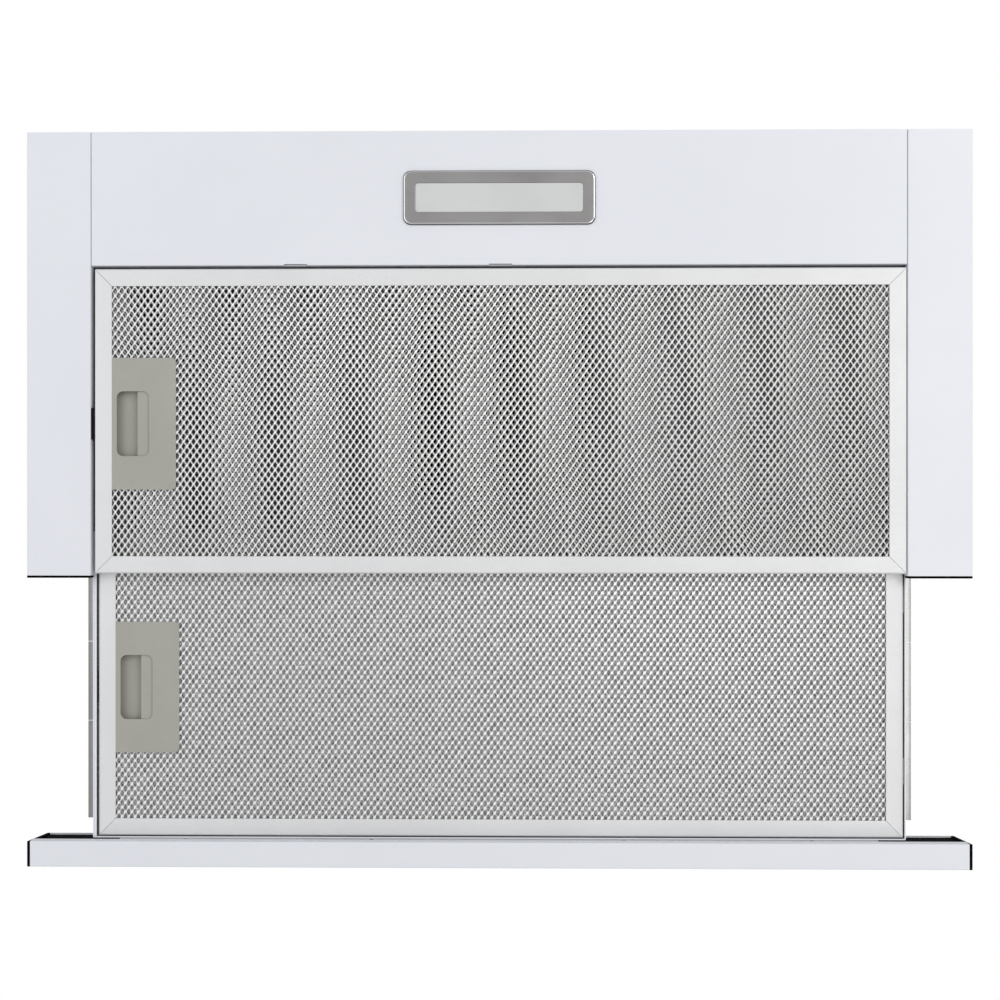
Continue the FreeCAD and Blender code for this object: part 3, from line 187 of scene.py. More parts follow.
def makeSkinGroup():
    # fine bumps of paint or moulded plastic
    group, entry, leave = newGroup(
        "surfaceSkin",
        [("Vector", "NodeSocketVector", (0, 0, 0)), ("Scale", "NodeSocketFloat", 800.0),
         ("Depth", "NodeSocketFloat", 0.00003)],
        [("Mask", "NodeSocketFloat"), ("Normal", "NodeSocketVector")])
    noise = addNode(group, "ShaderNodeTexNoise", Detail=3.0, Roughness=0.55)
    bump = addNode(group, "ShaderNodeBump", Strength=1.0)
    group.links.new(entry.outputs["Vector"], noise.inputs["Vector"])
    group.links.new(entry.outputs["Scale"], noise.inputs["Scale"])
    group.links.new(noise.outputs["Fac"], bump.inputs["Height"])
    group.links.new(entry.outputs["Depth"], bump.inputs["Distance"])
    group.links.new(noise.outputs["Fac"], leave.inputs["Mask"])
    group.links.new(bump.outputs["Normal"], leave.inputs["Normal"])
    return group


def makeBrushGroup():
    # long fine lines left by rolling or brushing; Stretch squeezes the pattern across the lines
    group, entry, leave = newGroup(
        "brushedLines",
        [("Vector", "NodeSocketVector", (0, 0, 0)), ("Stretch", "NodeSocketVector", (1, 1, 1)),
         ("Depth", "NodeSocketFloat", 0.00001)],
        [("Mask", "NodeSocketFloat"), ("Normal", "NodeSocketVector")])
    stretch = addNode(group, "ShaderNodeVectorMath", {"operation": "MULTIPLY"})
    noise = addNode(group, "ShaderNodeTexNoise", Scale=1.0, Detail=4.0, Roughness=0.65)
    bump = addNode(group, "ShaderNodeBump", Strength=1.0)
    group.links.new(entry.outputs["Vector"], stretch.inputs[0])
    group.links.new(entry.outputs["Stretch"], stretch.inputs[1])
    group.links.new(stretch.outputs["Vector"], noise.inputs["Vector"])
    group.links.new(noise.outputs["Fac"], bump.inputs["Height"])
    group.links.new(entry.outputs["Depth"], bump.inputs["Distance"])
    group.links.new(noise.outputs["Fac"], leave.inputs["Mask"])
    group.links.new(bump.outputs["Normal"], leave.inputs["Normal"])
    return group


def makeSpangleGroup():
    # zinc crystals of hot-dipped sheet
    group, entry, leave = newGroup(
        "zincSpangle",
        [("Vector", "NodeSocketVector", (0, 0, 0)), ("Scale", "NodeSocketFloat", 120.0),
         ("Depth", "NodeSocketFloat", 0.00002)],
        [("Mask", "NodeSocketFloat"), ("Normal", "NodeSocketVector")])
    wobble = addNode(group, "ShaderNodeTexNoise", Scale=60.0, Detail=2.0)
    shift = addNode(group, "ShaderNodeVectorMath", {"operation": "SCALE"}, Scale=0.006)
    push = addNode(group, "ShaderNodeVectorMath", {"operation": "ADD"})
    cells = addNode(group, "ShaderNodeTexVoronoi", {"feature": "F1"}, Randomness=1.0)
    split = addNode(group, "ShaderNodeSeparateColor")
    bump = addNode(group, "ShaderNodeBump", Strength=1.0)
    group.links.new(entry.outputs["Vector"], wobble.inputs["Vector"])
    group.links.new(wobble.outputs["Color"], shift.inputs[0])
    group.links.new(entry.outputs["Vector"], push.inputs[0])
    group.links.new(shift.outputs["Vector"], push.inputs[1])
    group.links.new(push.outputs["Vector"], cells.inputs["Vector"])
    group.links.new(entry.outputs["Scale"], cells.inputs["Scale"])
    group.links.new(cells.outputs["Color"], split.inputs["Color"])
    group.links.new(split.outputs["Red"], bump.inputs["Height"])
    group.links.new(entry.outputs["Depth"], bump.inputs["Distance"])
    group.links.new(split.outputs["Red"], leave.inputs["Mask"])
    group.links.new(bump.outputs["Normal"], leave.inputs["Normal"])
    return group


def makeHazeGroup():
    # slow, cloudy change of tone: haze, handling and dust; on the filters' core layers, at the scale of the holes,
    # it paints shade that changes from hole to hole
    group, entry, leave = newGroup(
        "cloudyHaze",
        [("Vector", "NodeSocketVector", (0, 0, 0)), ("Scale", "NodeSocketFloat", 8.0),
         ("From", "NodeSocketFloat", 0.35), ("To", "NodeSocketFloat", 0.7)],
        [("Mask", "NodeSocketFloat")])
    noise = addNode(group, "ShaderNodeTexNoise", Detail=5.0, Roughness=0.6)
    clamp = addNode(group, "ShaderNodeMapRange", {"interpolation_type": "SMOOTHSTEP"})
    group.links.new(entry.outputs["Vector"], noise.inputs["Vector"])
    group.links.new(entry.outputs["Scale"], noise.inputs["Scale"])
    group.links.new(noise.outputs["Fac"], clamp.inputs["Value"])
    group.links.new(entry.outputs["From"], clamp.inputs["From Min"])
    group.links.new(entry.outputs["To"], clamp.inputs["From Max"])
    group.links.new(clamp.outputs["Result"], leave.inputs["Mask"])
    return group


skinGroup = makeSkinGroup()
brushGroup = makeBrushGroup()
spangleGroup = makeSpangleGroup()
hazeGroup = makeHazeGroup()


def startMaterial(name, metallic=0.0, **values):
    material = bpy.data.materials.new(name)
    material.use_nodes = True
    tree = material.node_tree
    shader = tree.nodes["Principled BSDF"]
    shader.inputs["Metallic"].default_value = metallic
    for key, value in values.items():
        shader.inputs[key.replace("_", " ")].default_value = value
    place = addNode(tree, "ShaderNodeTexCoord").outputs["Object"]
    return material, tree, shader, place


def useGroup(tree, group, place, **values):
    node = tree.nodes.new("ShaderNodeGroup")
    node.node_tree = group
    for key, value in values.items():
        node.inputs[key].default_value = value
    tree.links.new(place, node.inputs["Vector"])
    return node


def mixColours(tree, mask, first, second):
    mix = addNode(tree, "ShaderNodeMix", {"data_type": "RGBA"})
    for socket, value in ((mix.inputs[6], first), (mix.inputs[7], second)):
        if isinstance(value, tuple):
            socket.default_value = (*value, 1)
        else:
            tree.links.new(value, socket)
    tree.links.new(mask, mix.inputs[0])
    return mix.outputs[2]


def spread(tree, mask, low, high):
    node = addNode(tree, "ShaderNodeMapRange")
    node.inputs["To Min"].default_value = low
    node.inputs["To Max"].default_value = high
    tree.links.new(mask, node.inputs["Value"])
    return node.outputs["Result"]


def paintedMetal(name, light, shade, roughness, grain, depth, haze=6.0):
    material, tree, shader, place = startMaterial(name)
    skin = useGroup(tree, skinGroup, place, Scale=grain, Depth=depth)
    cloud = useGroup(tree, hazeGroup, place, Scale=haze, From=0.3, To=0.75)
    tree.links.new(mixColours(tree, cloud.outputs["Mask"], light, shade), shader.inputs["Base Color"])
    tree.links.new(spread(tree, skin.outputs["Mask"], *roughness), shader.inputs["Roughness"])
    tree.links.new(skin.outputs["Normal"], shader.inputs["Normal"])
    return material


def rolledMetal(name, light, shade, roughness, stretch, depth, haze=14.0, metallic=1.0):
    material, tree, shader, place = startMaterial(name, metallic=metallic)
    lines = useGroup(tree, brushGroup, place, Stretch=stretch, Depth=depth)
    cloud = useGroup(tree, hazeGroup, place, Scale=haze, From=0.3, To=0.75)
    soft = mixColours(tree, cloud.outputs["Mask"], light, shade)
    streak = spread(tree, lines.outputs["Mask"], 0.0, 0.35)
    tree.links.new(mixColours(tree, streak, soft, shade), shader.inputs["Base Color"])
    tree.links.new(spread(tree, lines.outputs["Mask"], *roughness), shader.inputs["Roughness"])
    tree.links.new(lines.outputs["Normal"], shader.inputs["Normal"])
    return material


def zincSheet(name, light, shade, roughness, scale):
    material, tree, shader, place = startMaterial(name, metallic=0.9)
    crystals = useGroup(tree, spangleGroup, place, Scale=scale, Depth=0.000012)
    cloud = useGroup(tree, hazeGroup, place, Scale=9.0, From=0.3, To=0.8)
    tone = mixColours(tree, crystals.outputs["Mask"], light, shade)
    dusty = mixColours(tree, spread(tree, cloud.outputs["Mask"], 0.0, 0.4), tone, shade)
    tree.links.new(dusty, shader.inputs["Base Color"])
    tree.links.new(spread(tree, crystals.outputs["Mask"], *roughness), shader.inputs["Roughness"])
    tree.links.new(crystals.outputs["Normal"], shader.inputs["Normal"])
    return material


def mouldedPlastic(name, light, shade, roughness, grain, depth, **values):
    material, tree, shader, place = startMaterial(name, **values)
    skin = useGroup(tree, skinGroup, place, Scale=grain, Depth=depth)
    cloud = useGroup(tree, hazeGroup, place, Scale=20.0, From=0.35, To=0.7)
    tone = mixColours(tree, cloud.outputs["Mask"], light, shade)
    tree.links.new(tone, shader.inputs["Base Color"])
    tree.links.new(spread(tree, skin.outputs["Mask"], *roughness), shader.inputs["Roughness"])
    tree.links.new(skin.outputs["Normal"], shader.inputs["Normal"])
    return material


whitePaint = paintedMetal("whitePaint", (0.80, 0.815, 0.86), (0.775, 0.79, 0.835), (0.34, 0.46), 650.0, 0.000035)
zincCoated = zincSheet("zincCoated", (0.62, 0.64, 0.66), (0.45, 0.47, 0.49), (0.40, 0.60), 95.0)
blackPlastic = mouldedPlastic("blackPlastic", (0.004, 0.004, 0.005), (0.008, 0.008, 0.009), (0.5, 0.7), 1500.0,
                              0.00003, Specular_IOR_Level=0.1)
bezelMetal = rolledMetal("bezelMetal", (0.42, 0.41, 0.405), (0.30, 0.29, 0.285), (0.28, 0.5),
                         (60.0, 2600.0, 2600.0), 0.000008)
# painted highlight: a light copy of the bezel's metal for the rim's flatter faces; its low roughness is the rim's
# polish
polishedRim = rolledMetal("polishedRim", (0.85, 0.85, 0.86), (0.7, 0.7, 0.7), (0.12, 0.25),
                          (200.0, 900.0, 900.0), 0.000003)
frostedLens = mouldedPlastic("frostedLens", (0.655, 0.665, 0.655), (0.61, 0.62, 0.61), (0.42, 0.6), 1100.0, 0.00002)
boardWhite = mouldedPlastic("boardWhite", (0.75, 0.76, 0.74), (0.66, 0.67, 0.64), (0.3, 0.45), 600.0, 0.00001)
shellWhite = mouldedPlastic("shellWhite", (0.74, 0.74, 0.71), (0.66, 0.66, 0.63), (0.35, 0.5), 1300.0, 0.00002)
knobPlastic = mouldedPlastic("knobPlastic", (0.70, 0.71, 0.72), (0.62, 0.63, 0.64), (0.25, 0.4), 1600.0, 0.00001)
latchPlastic = mouldedPlastic("latchPlastic", (0.405, 0.395, 0.35), (0.38, 0.37, 0.325), (0.42, 0.58), 1700.0,
                              0.000035)
frameMetal = rolledMetal("frameMetal", (0.80, 0.80, 0.80), (0.745, 0.745, 0.745), (0.45, 0.62),
                         (45.0, 1500.0, 1500.0), 0.000004, metallic=0.35)
# The filters' mesh materials are lit and shaded copies of one aluminium: the bonds' near-white base is a painted
# highlight, meshMetal and strandMetal are darker as painted shade of the strands, coreMetal and shadeMetal paint the
# shade deep inside the rear filter, and paleCoreMetal is a lighter copy for the drawer's open core
meshMetal = rolledMetal("meshMetal", (0.70, 0.69, 0.68), (0.52, 0.51, 0.50), (0.3, 0.5),
                        (900.0, 900.0, 900.0), 0.00002, haze=350.0, metallic=0.45)
bondMetal = rolledMetal("bondMetal", (0.99, 0.985, 0.98), (0.93, 0.925, 0.92), (0.3, 0.45),
                        (900.0, 900.0, 900.0), 0.00001, haze=350.0, metallic=0.35)
coreMetal = rolledMetal("coreMetal", (0.64, 0.635, 0.63), (0.24, 0.24, 0.235), (0.35, 0.5),
                        (900.0, 900.0, 900.0), 0.00002, haze=300.0, metallic=0.5)
shadeMetal = rolledMetal("shadeMetal", (0.32, 0.32, 0.315), (0.18, 0.18, 0.175), (0.4, 0.55),
                         (900.0, 900.0, 900.0), 0.00002, metallic=0.6)
strandMetal = rolledMetal("strandMetal", (0.78, 0.775, 0.77), (0.54, 0.535, 0.53), (0.35, 0.5),
                          (900.0, 900.0, 900.0), 0.00002, haze=350.0, metallic=0.45)
paleCoreMetal = rolledMetal("paleCoreMetal", (0.64, 0.635, 0.63), (0.31, 0.305, 0.30), (0.4, 0.55),
                            (900.0, 900.0, 900.0), 0.00002, haze=300.0, metallic=0.35)
springSteel = rolledMetal("springSteel", (0.62, 0.63, 0.65), (0.42, 0.43, 0.45), (0.2, 0.4),
                          (900.0, 900.0, 300.0), 0.00001)
railSteel = rolledMetal("railSteel", (0.44, 0.44, 0.43), (0.31, 0.31, 0.30), (0.18, 0.36),
                        (1500.0, 60.0, 1500.0), 0.00001)
motorSteel = rolledMetal("motorSteel", (0.42, 0.43, 0.45), (0.28, 0.29, 0.31), (0.3, 0.55),
                         (100.0, 1200.0, 1200.0), 0.00001)
# the caps are black plastic; capBlack is darker and duller than blackPlastic, painted shade for their plugs in the
# trim's dark cavity
capBlack = mouldedPlastic("capBlack", (0.0012, 0.0012, 0.0016), (0.003, 0.003, 0.0035), (0.6, 0.8), 1500.0, 0.00003,
                          Specular_IOR_Level=0.03)
# painted shade: a dark copy of the bezel's metal for the rim's steeper faces
rimShade = rolledMetal("rimShade", (0.20, 0.195, 0.19), (0.14, 0.135, 0.13), (0.3, 0.5),
                       (200.0, 900.0, 900.0), 0.000003)
rubberBlack = mouldedPlastic("rubberBlack", (0.02, 0.02, 0.02), (0.035, 0.034, 0.033), (0.7, 0.9), 900.0, 0.00005)

slotMaterials = {"white_powder_coat": whitePaint, "galvanised_sheet": zincCoated, "black_plastic": blackPlastic,
                 "bezel_metal": bezelMetal, "frosted_lens": frostedLens, "white_board": boardWhite,
                 "white_plastic": shellWhite, "knob_plastic": knobPlastic, "aluminium_frame": frameMetal,
                 "aluminium_mesh": meshMetal, "latch_plastic": latchPlastic, "spring_steel": springSteel,
                 "zinc_steel": railSteel, "motor_steel": motorSteel, "rubber": rubberBlack}

# in part painted shade: the trim's and the wings' black caps take the extra dark, dull capBlack
nodeMaterials = {"trim_cap_right": capBlack, "trim_cap_left": capBlack, "front_cap_right": capBlack,
                 "front_cap_left": capBlack}
record = frame["record"]
nodeSlots = {part["node"]: part["material_slot"] for part in record["subparts"]}
nodeBodies = {name: body for body, names in record["behaviour"]["bodies"].items() for name in names}
for name, node in nodes.items():
    for place in node.material_slots:
        place.link = "OBJECT"
        place.material = nodeMaterials.get(name, slotMaterials[nodeSlots[name]])
print("materials made")


# Grease filters: layers of expanded sheet in a folded, mitred frame
# In a layer, pitch is the gap's width and depth, strand and crossStrand are the widths of the two families of
# strands, tilt and bondTilt lean their faces, lean turns the whole layer, and rise is its height in the frame
filterSize = {"rim": 11.0, "sheet": 0.8, "thick": 8.0, "foldRadius": 1.3, "mitre": 0.3, "underRim": 5.0,
              "plateUnder": 1.6, "tabReach": 1.4, "trayGap": 1.3, "tongueCut": 0.2, "spare": 6.0, "leanSpare": 14.0}
fineLayer = {"pitchX": 4.17, "pitchY": 6.0, "strand": 0.85, "crossStrand": 0.95, "thick": 0.22, "tilt": -10.0,
             "lean": 0.0, "bondLength": 3.0, "bondWidth": 1.4, "bondTip": 0.35, "bondThick": 0.34, "bondTilt": 20.0,
             "bondRise": -0.3, "rise": 1.45, "shift": (0.0, 0.0)}
spotLayer = dict(fineLayer, strand=0.75, crossStrand=0.9, tilt=-14.0, bondLength=2.6, bondWidth=1.95, bondTip=0.55,
                 bondTilt=8.0)
backingLayer = dict(fineLayer, pitchX=4.54, pitchY=6.12, strand=0.9, crossStrand=0.9, tilt=15.0, lean=0.2,
                    bondLength=3.2, bondWidth=1.6, bondTip=0.6, rise=2.9)
backLayer = dict(fineLayer, strand=1.1, crossStrand=1.1, bondWidth=2.2, bondRise=0.3, rise=6.55, shift=(0.9, 0.65))
denseLayer = {"pitchX": 2.6, "pitchY": 3.7, "strand": 1.3, "crossStrand": 1.3, "thick": 0.2, "tilt": 10.0,
              "lean": 2.5, "rise": 2.9, "shift": (0.0, 0.0)}
deepLayer = dict(denseLayer, pitchX=2.9, pitchY=4.1, strand=1.6, crossStrand=1.6, lean=-3.0, rise=4.0)


def drawOut(mesh, width, thick, stations):
    # a flat bar along +Y; each station is (y, width there), and the first one is its start
    matrix = Matrix.Translation((0, stations[0][0], 0)) @ Matrix.Rotation(turn90, 4, "X")
    matrix = matrix @ Matrix.Diagonal((width, thick, 1, 1))
    verts = bmesh.ops.create_grid(mesh, x_segments=1, y_segments=1, size=0.5, matrix=matrix)["verts"]
    cap = verts[0].link_faces[0]
    made, y = list(verts), stations[0][0]
    for nextY, nextWidth in stations[1:]:
        grown = bmesh.ops.extrude_face_region(mesh, geom=[cap])["geom"]
        verts = onlyVerts(grown)
        cap = [g for g in grown if isinstance(g, bmesh.types.BMFace)][0]
        bmesh.ops.translate(mesh, vec=(0, nextY - y, 0), verts=verts)
        bmesh.ops.scale(mesh, vec=(nextWidth / width, 1, 1), verts=verts)
        width, y = nextWidth, nextY
        made += verts
    inner = [f for f in mesh.faces if all(len(e.link_faces) > 2 for e in f.edges)]
    bmesh.ops.delete(mesh, geom=inner, context="FACES_ONLY")
    bmesh.ops.recalc_face_normals(mesh, faces=mesh.faces)
    return made


def repeatAlong(mesh, step, count):
    # copies of all that the mesh holds, at even steps
    first = everything(mesh)
    for index in range(1, count):
        new = bmesh.ops.duplicate(mesh, geom=first)["geom"]
        moved = onlyVerts(new)
        bmesh.ops.translate(mesh, vec=vector(*step) * index, verts=moved)


def expandedSheet(size, window):
    # two families of thin strands, and a wider lozenge where they are joined
    x0, x1, y0, y1 = window
    pitchX, pitchY = size["pitchX"] * mm, size["pitchY"] * mm
    rows = int((y1 - y0) / pitchY) + 2
    slant = math.atan2(pitchX, pitchY)
    reach = rows * pitchX
    thick = size["thick"] * mm
    whole = freshMesh()
    for way, width in ((1, size["crossStrand"] * mm), (-1, size["strand"] * mm)):
        strand = freshMesh()
        drawOut(strand, width, thick, [(0, width), (rows * math.hypot(pitchX, pitchY), width)])
        tilt = Matrix.Rotation(math.radians(-way * size["tilt"]), 3, "Y")
        bmesh.ops.rotate(strand, matrix=Matrix.Rotation(way * slant, 3, "Z") @ tilt, verts=strand.verts)
        repeatAlong(strand, (pitchX, 0, 0), int((x1 - x0 + reach) / pitchX) + 1)
        bmesh.ops.translate(strand, vec=(x0 if way > 0 else x0 - reach, y0, 0), verts=strand.verts)
        addMesh(whole, strand)
    if "bondLength" in size:
        bond = freshMesh()
        tip, wide, half = size["bondTip"] * mm, size["bondWidth"] * mm, size["bondLength"] * mm / 2
        drawOut(bond, tip, size["bondThick"] * mm, [(-half, tip), (0, wide), (half, tip)])
        tilt = Matrix.Rotation(math.radians(size["bondTilt"]), 3, "Y")
        bmesh.ops.rotate(bond, matrix=Matrix.Rotation(slant, 3, "Z") @ tilt, verts=bond.verts)
        repeatAlong(bond, (pitchX / 2, pitchY / 2, 0), 2)
        repeatAlong(bond, (pitchX, 0, 0), int((x1 - x0) / pitchX) + 1)
        repeatAlong(bond, (0, pitchY, 0), rows)
        bmesh.ops.translate(bond, vec=(x0, y0, size["bondRise"] * mm), verts=bond.verts)
        # painted highlight: the bonds take the sheet's second, lighter material
        paintFaces(bond, lambda centre, normal: True, 1)
        addMesh(whole, bond)
    return whole


def clearLatch(mesh, window, latchBox):
    # trims the sheet to the frame and cuts the latch's place out of it
    x0, x1, y0, y1 = window
    for point, normal in (((x0, 0, 0), (-1, 0, 0)), ((x1, 0, 0), (1, 0, 0)), ((0, y0, 0), (0, -1, 0)),
                          ((0, y1, 0), (0, 1, 0))):
        cutPlane(mesh, point, normal, True)
        closeEnds(mesh)
    edge = filterSize["plateUnder"] * mm
    left, front, back = latchBox[0].x + edge, latchBox[0].y + edge, latchBox[1].y - edge
    for point, normal in (((left, 0, 0), (-1, 0, 0)), ((0, front, 0), (0, -1, 0)), ((0, back, 0), (0, 1, 0))):
        cutPlane(mesh, point, normal, False)
    behind = []
    for face in mesh.faces:
        centre = face.calc_center_median()
        if centre.x > left and front < centre.y < back:
            behind.append(face)
    bmesh.ops.delete(mesh, geom=behind, context="FACES")
    closeEnds(mesh)


def filterSheet(name, layers, filterBox, latchBox, body, replaced, material, extra=()):
    low, high = filterBox
    rim = (filterSize["rim"] - filterSize["underRim"]) * mm
    window = (low.x + rim, high.x - rim, low.y + rim, high.y - rim)
    middle = vector((low.x + high.x) / 2, (low.y + high.y) / 2, 0)
    whole = freshMesh()
    for size in layers:
        spare = filterSize["leanSpare" if size["lean"] else "spare"] * mm
        sheet = expandedSheet(size, (window[0] - spare, window[1] + spare, window[2] - spare, window[3] + spare))
        lean = Matrix.Rotation(math.radians(size["lean"]), 3, "Z")
        bmesh.ops.rotate(sheet, cent=middle, matrix=lean, verts=sheet.verts)
        shiftX, shiftY = size["shift"]
        bmesh.ops.translate(sheet, vec=(shiftX * mm, shiftY * mm, low.z + size["rise"] * mm), verts=sheet.verts)
        addMesh(whole, sheet)
    clearLatch(whole, window, latchBox)
    return makePiece(name, whole, material, body, replaced, 20, extra, even=False)


def frameBars(name, filterBox, body, replaced):
    low, high = filterBox
    rim, thick, sheet = filterSize["rim"] * mm, filterSize["thick"] * mm, filterSize["sheet"] * mm
    gap = filterSize["mitre"] * mm / 2
    up = vector(0, 0, thick)
    corners = [vector(low.x, low.y, low.z), vector(high.x, low.y, low.z), vector(high.x, high.y, low.z),
               vector(low.x, high.y, low.z)]
    mesh = freshMesh()
    for start, end in zip(corners, corners[1:] + corners[:1]):
        along = (end - start).normalized()
        inward = vector(-along.y, along.x, 0)
        bar = freshMesh()
        profile = [start + inward * rim, start, start + up, start + up + inward * rim]
        verts = [bar.verts.new(p + along * gap) for p in profile]
        edges = [bar.edges.new(pair) for pair in zip(verts, verts[1:])]
        drawn = bmesh.ops.extrude_edge_only(bar, edges=edges)["geom"]
        far = onlyVerts(drawn)
        bmesh.ops.translate(bar, vec=end - start - along * 2 * gap, verts=far)
        bmesh.ops.translate(bar, vec=along * rim, verts=[verts[0], verts[3]])
        farInner = [v for v in far if (v.co - end).dot(inward) > rim / 2]
        bmesh.ops.translate(bar, vec=-along * rim, verts=farInner)
        folds = [e for v in (verts[1], verts[2]) for e in v.link_edges if len(e.link_faces) == 2]
        bevelEdges(bar, folds, filterSize["foldRadius"] * mm, 3)
        bmesh.ops.recalc_face_normals(bar, faces=bar.faces)
        bmesh.ops.solidify(bar, geom=list(bar.faces), thickness=sheet)
        bmesh.ops.recalc_face_normals(bar, faces=bar.faces)
        addMesh(mesh, bar)
    return makePiece(name, mesh, frameMetal, body, replaced)


def copyPiece(source, name, change, body, replaced=()):
    # the same piece once more, moved by change, on another body
    data = source.data.copy()
    data.transform(change)
    piece = bpy.data.objects.new(name, data)
    scene.collection.objects.link(piece)
    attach(piece, body)
    if replaced:
        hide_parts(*replaced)
    return piece


rearLow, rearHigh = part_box("rear_filter_frame")
frontLow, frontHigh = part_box("front_filter_frame")
toDrawer = Matrix.Translation(frontLow - rearLow)
rearBox = (vector(rearLow.x + filterSize["tabReach"] * mm, rearLow.y, rearLow.z), rearHigh)
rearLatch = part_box("rear_latch_plate")
drawerBox = (rearBox[0] + frontLow - rearLow, frontHigh)
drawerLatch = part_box("front_latch_plate")
# painted shade: the rear filter's layers take darker copies of the aluminium than the drawer's, and its back sheet
# the darkest
rearMesh = filterSheet("rearFilterMesh", [fineLayer], rearBox, rearLatch, "rear_filter", ["rear_filter_mesh"],
                       meshMetal, [bondMetal])
rearCore = filterSheet("rearFilterCore", [backingLayer], rearBox, rearLatch, "rear_filter",
                       ["rear_filter_core"], coreMetal, [coreMetal])
rearBack = filterSheet("rearFilterBack", [backLayer], rearBox, rearLatch, "rear_filter", [], shadeMetal, [coreMetal])
drawerMesh = filterSheet("drawerFilterMesh", [spotLayer], drawerBox, drawerLatch, "drawer", ["front_filter_mesh"],
                         strandMetal, [bondMetal])
drawerCore = filterSheet("drawerFilterCore", [denseLayer, deepLayer], drawerBox, drawerLatch, "drawer",
                         ["front_filter_core"], paleCoreMetal)
copyPiece(rearBack, "drawerFilterBack", toDrawer, "drawer")
for piece in (rearMesh, rearCore, rearBack, drawerMesh, drawerCore):
    print(piece.name, "has", sum(len(p.vertices) - 2 for p in piece.data.polygons), "triangles")
rearRim = frameBars("rearFilterRim", rearBox, "rear_filter", ["rear_filter_frame"])
copyPiece(rearRim, "drawerFilterRim", toDrawer, "drawer", ["front_filter_frame"])
print("filters made")


# Folded sheet, plastic and steel pieces: the solids' own shapes with their edges eased
easeSize = {"merge": 0.002, "flatAngle": 0.5, "foldAngle": 60, "edgeAngle": 35, "near": 0.05}
sheetFold = {"edge": 0.12, "width": 0.7}


def lies(edge, fold):
    # fold gives the coordinates, None where free, that every point of the edge has
    near = easeSize["near"] * mm
    return all(wanted is None or abs(vert.co[axis] - wanted) < near
               for vert in edge.verts for axis, wanted in enumerate(fold))


def easedPiece(node, width, segments=2, folds=(), foldWidth=0.0, foldSegments=4, clamp=True, even=True):
    source = nodes[node]
    mesh = freshMesh()
    mesh.from_mesh(source.data)
    bmesh.ops.remove_doubles(mesh, verts=mesh.verts, dist=easeSize["merge"] * mm)
    flat = math.radians(easeSize["flatAngle"])
    bmesh.ops.dissolve_limit(mesh, angle_limit=flat, use_dissolve_boundaries=False, verts=mesh.verts,
                             edges=mesh.edges)
    if foldWidth:
        chosen = [e for e in sharpEdges(mesh, easeSize["foldAngle"]) if any(lies(e, fold) for fold in folds)]
        bevelEdges(mesh, chosen, foldWidth * mm, foldSegments)
    bevelEdges(mesh, sharpEdges(mesh, easeSize["edgeAngle"]), width * mm, segments, clamp)
    words = node.split("_")
    name = words[0] + ("".join(word.capitalize() for word in words[1:]) or "Body")
    slot = nodeSlots[node]
    material = nodeMaterials.get(node, slotMaterials[slot])
    return makePiece(name, mesh, material, nodeBodies[node], [node], smooth=40, even=even)


coverLow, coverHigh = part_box("side_cover_right")
for side, name in ((1, "side_cover_right"), (-1, "side_cover_left")):
    coverFolds = ((side * coverHigh.x, None, coverLow.z), (side * coverLow.x, None, coverLow.z))
    easedPiece(name, sheetFold["edge"], folds=coverFolds, foldWidth=sheetFold["width"])
panelLow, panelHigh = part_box("lamp_panel")
panelFolds = ((None, panelLow.y, panelLow.z), (panelLow.x, None, panelLow.z), (panelHigh.x, None, panelLow.z))
easedPiece("lamp_panel", sheetFold["edge"], folds=panelFolds, foldWidth=sheetFold["width"])
trimLow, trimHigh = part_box("trim_bar")
trimFolds = ((None, trimLow.y, trimLow.z), (None, trimLow.y, trimHigh.z))
easedPiece("trim_bar", sheetFold["edge"], folds=trimFolds, foldWidth=sheetFold["width"])
trayLow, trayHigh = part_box("tray_frame")
drawerFront = drawerBox[0].y - filterSize["trayGap"] * mm
trayFolds = ((trayLow.x, drawerFront, None), (trayHigh.x, drawerFront, None), (trayLow.x, trayHigh.y, None),
             (trayHigh.x, trayHigh.y, None))
easedPiece("tray_frame", 0.15, folds=trayFolds, foldWidth=sheetFold["width"])
edgeWidths = {"base_frame": 0.15, "rail_wall_right": 0.15, "rail_wall_left": 0.15, "casing_shell": 0.15,
              "casing_front": 0.15, "casing_back": 0.15, "motor_bracket": 0.15, "lamp_housing": 0.15,
              "trim_bracket": 0.15, "control_fascia": 0.2, "front_cap_right": 0.3,
              "front_cap_left": 0.3, "trim_cap_right": 0.3, "trim_cap_left": 0.3, "outlet_collar": 0.3,
              "flap_front": 0.2, "flap_rear": 0.2, "scroll_right": 0.3, "scroll_left": 0.3, "terminal_box": 0.5,
              "cable_gland": 0.3, "light_switch_housing": 0.3, "speed_switch_housing": 0.3,
              "light_switch_knob": 0.3, "speed_switch_knob": 0.3, "led_driver": 0.6, "capacitor": 0.2,
              "rear_latch_slide": 0.2, "front_latch_slide": 0.2, "rear_latch_plate": 0.15,
              "front_latch_plate": 0.15, "rail_fixed_right": 0.2, "rail_fixed_left": 0.2,
              "tray_screws": 0.2, "motor_mounts": 0.3,
              "lamp_lens": 0.2, "led_board": 0.1}
for node, width in edgeWidths.items():
    easedPiece(node, width, clamp=False)
for name, box in (("rearLatchSlide", rearBox), ("frontLatchSlide", drawerBox)):
    # painted shade: the tongue beyond the filter's edge, seen in the dark gap, takes black plastic
    data = bpy.data.objects[name].data
    data.materials.append(blackPlastic)
    edge = box[1].x - filterSize["tongueCut"] * mm
    mesh = freshMesh()
    mesh.from_mesh(data)
    cutPlane(mesh, (edge, 0, 0), (1, 0, 0), False)
    for face in mesh.faces:
        if face.calc_center_median().x > edge:
            face.material_index = 1
    mesh.to_mesh(data)
    mesh.free()


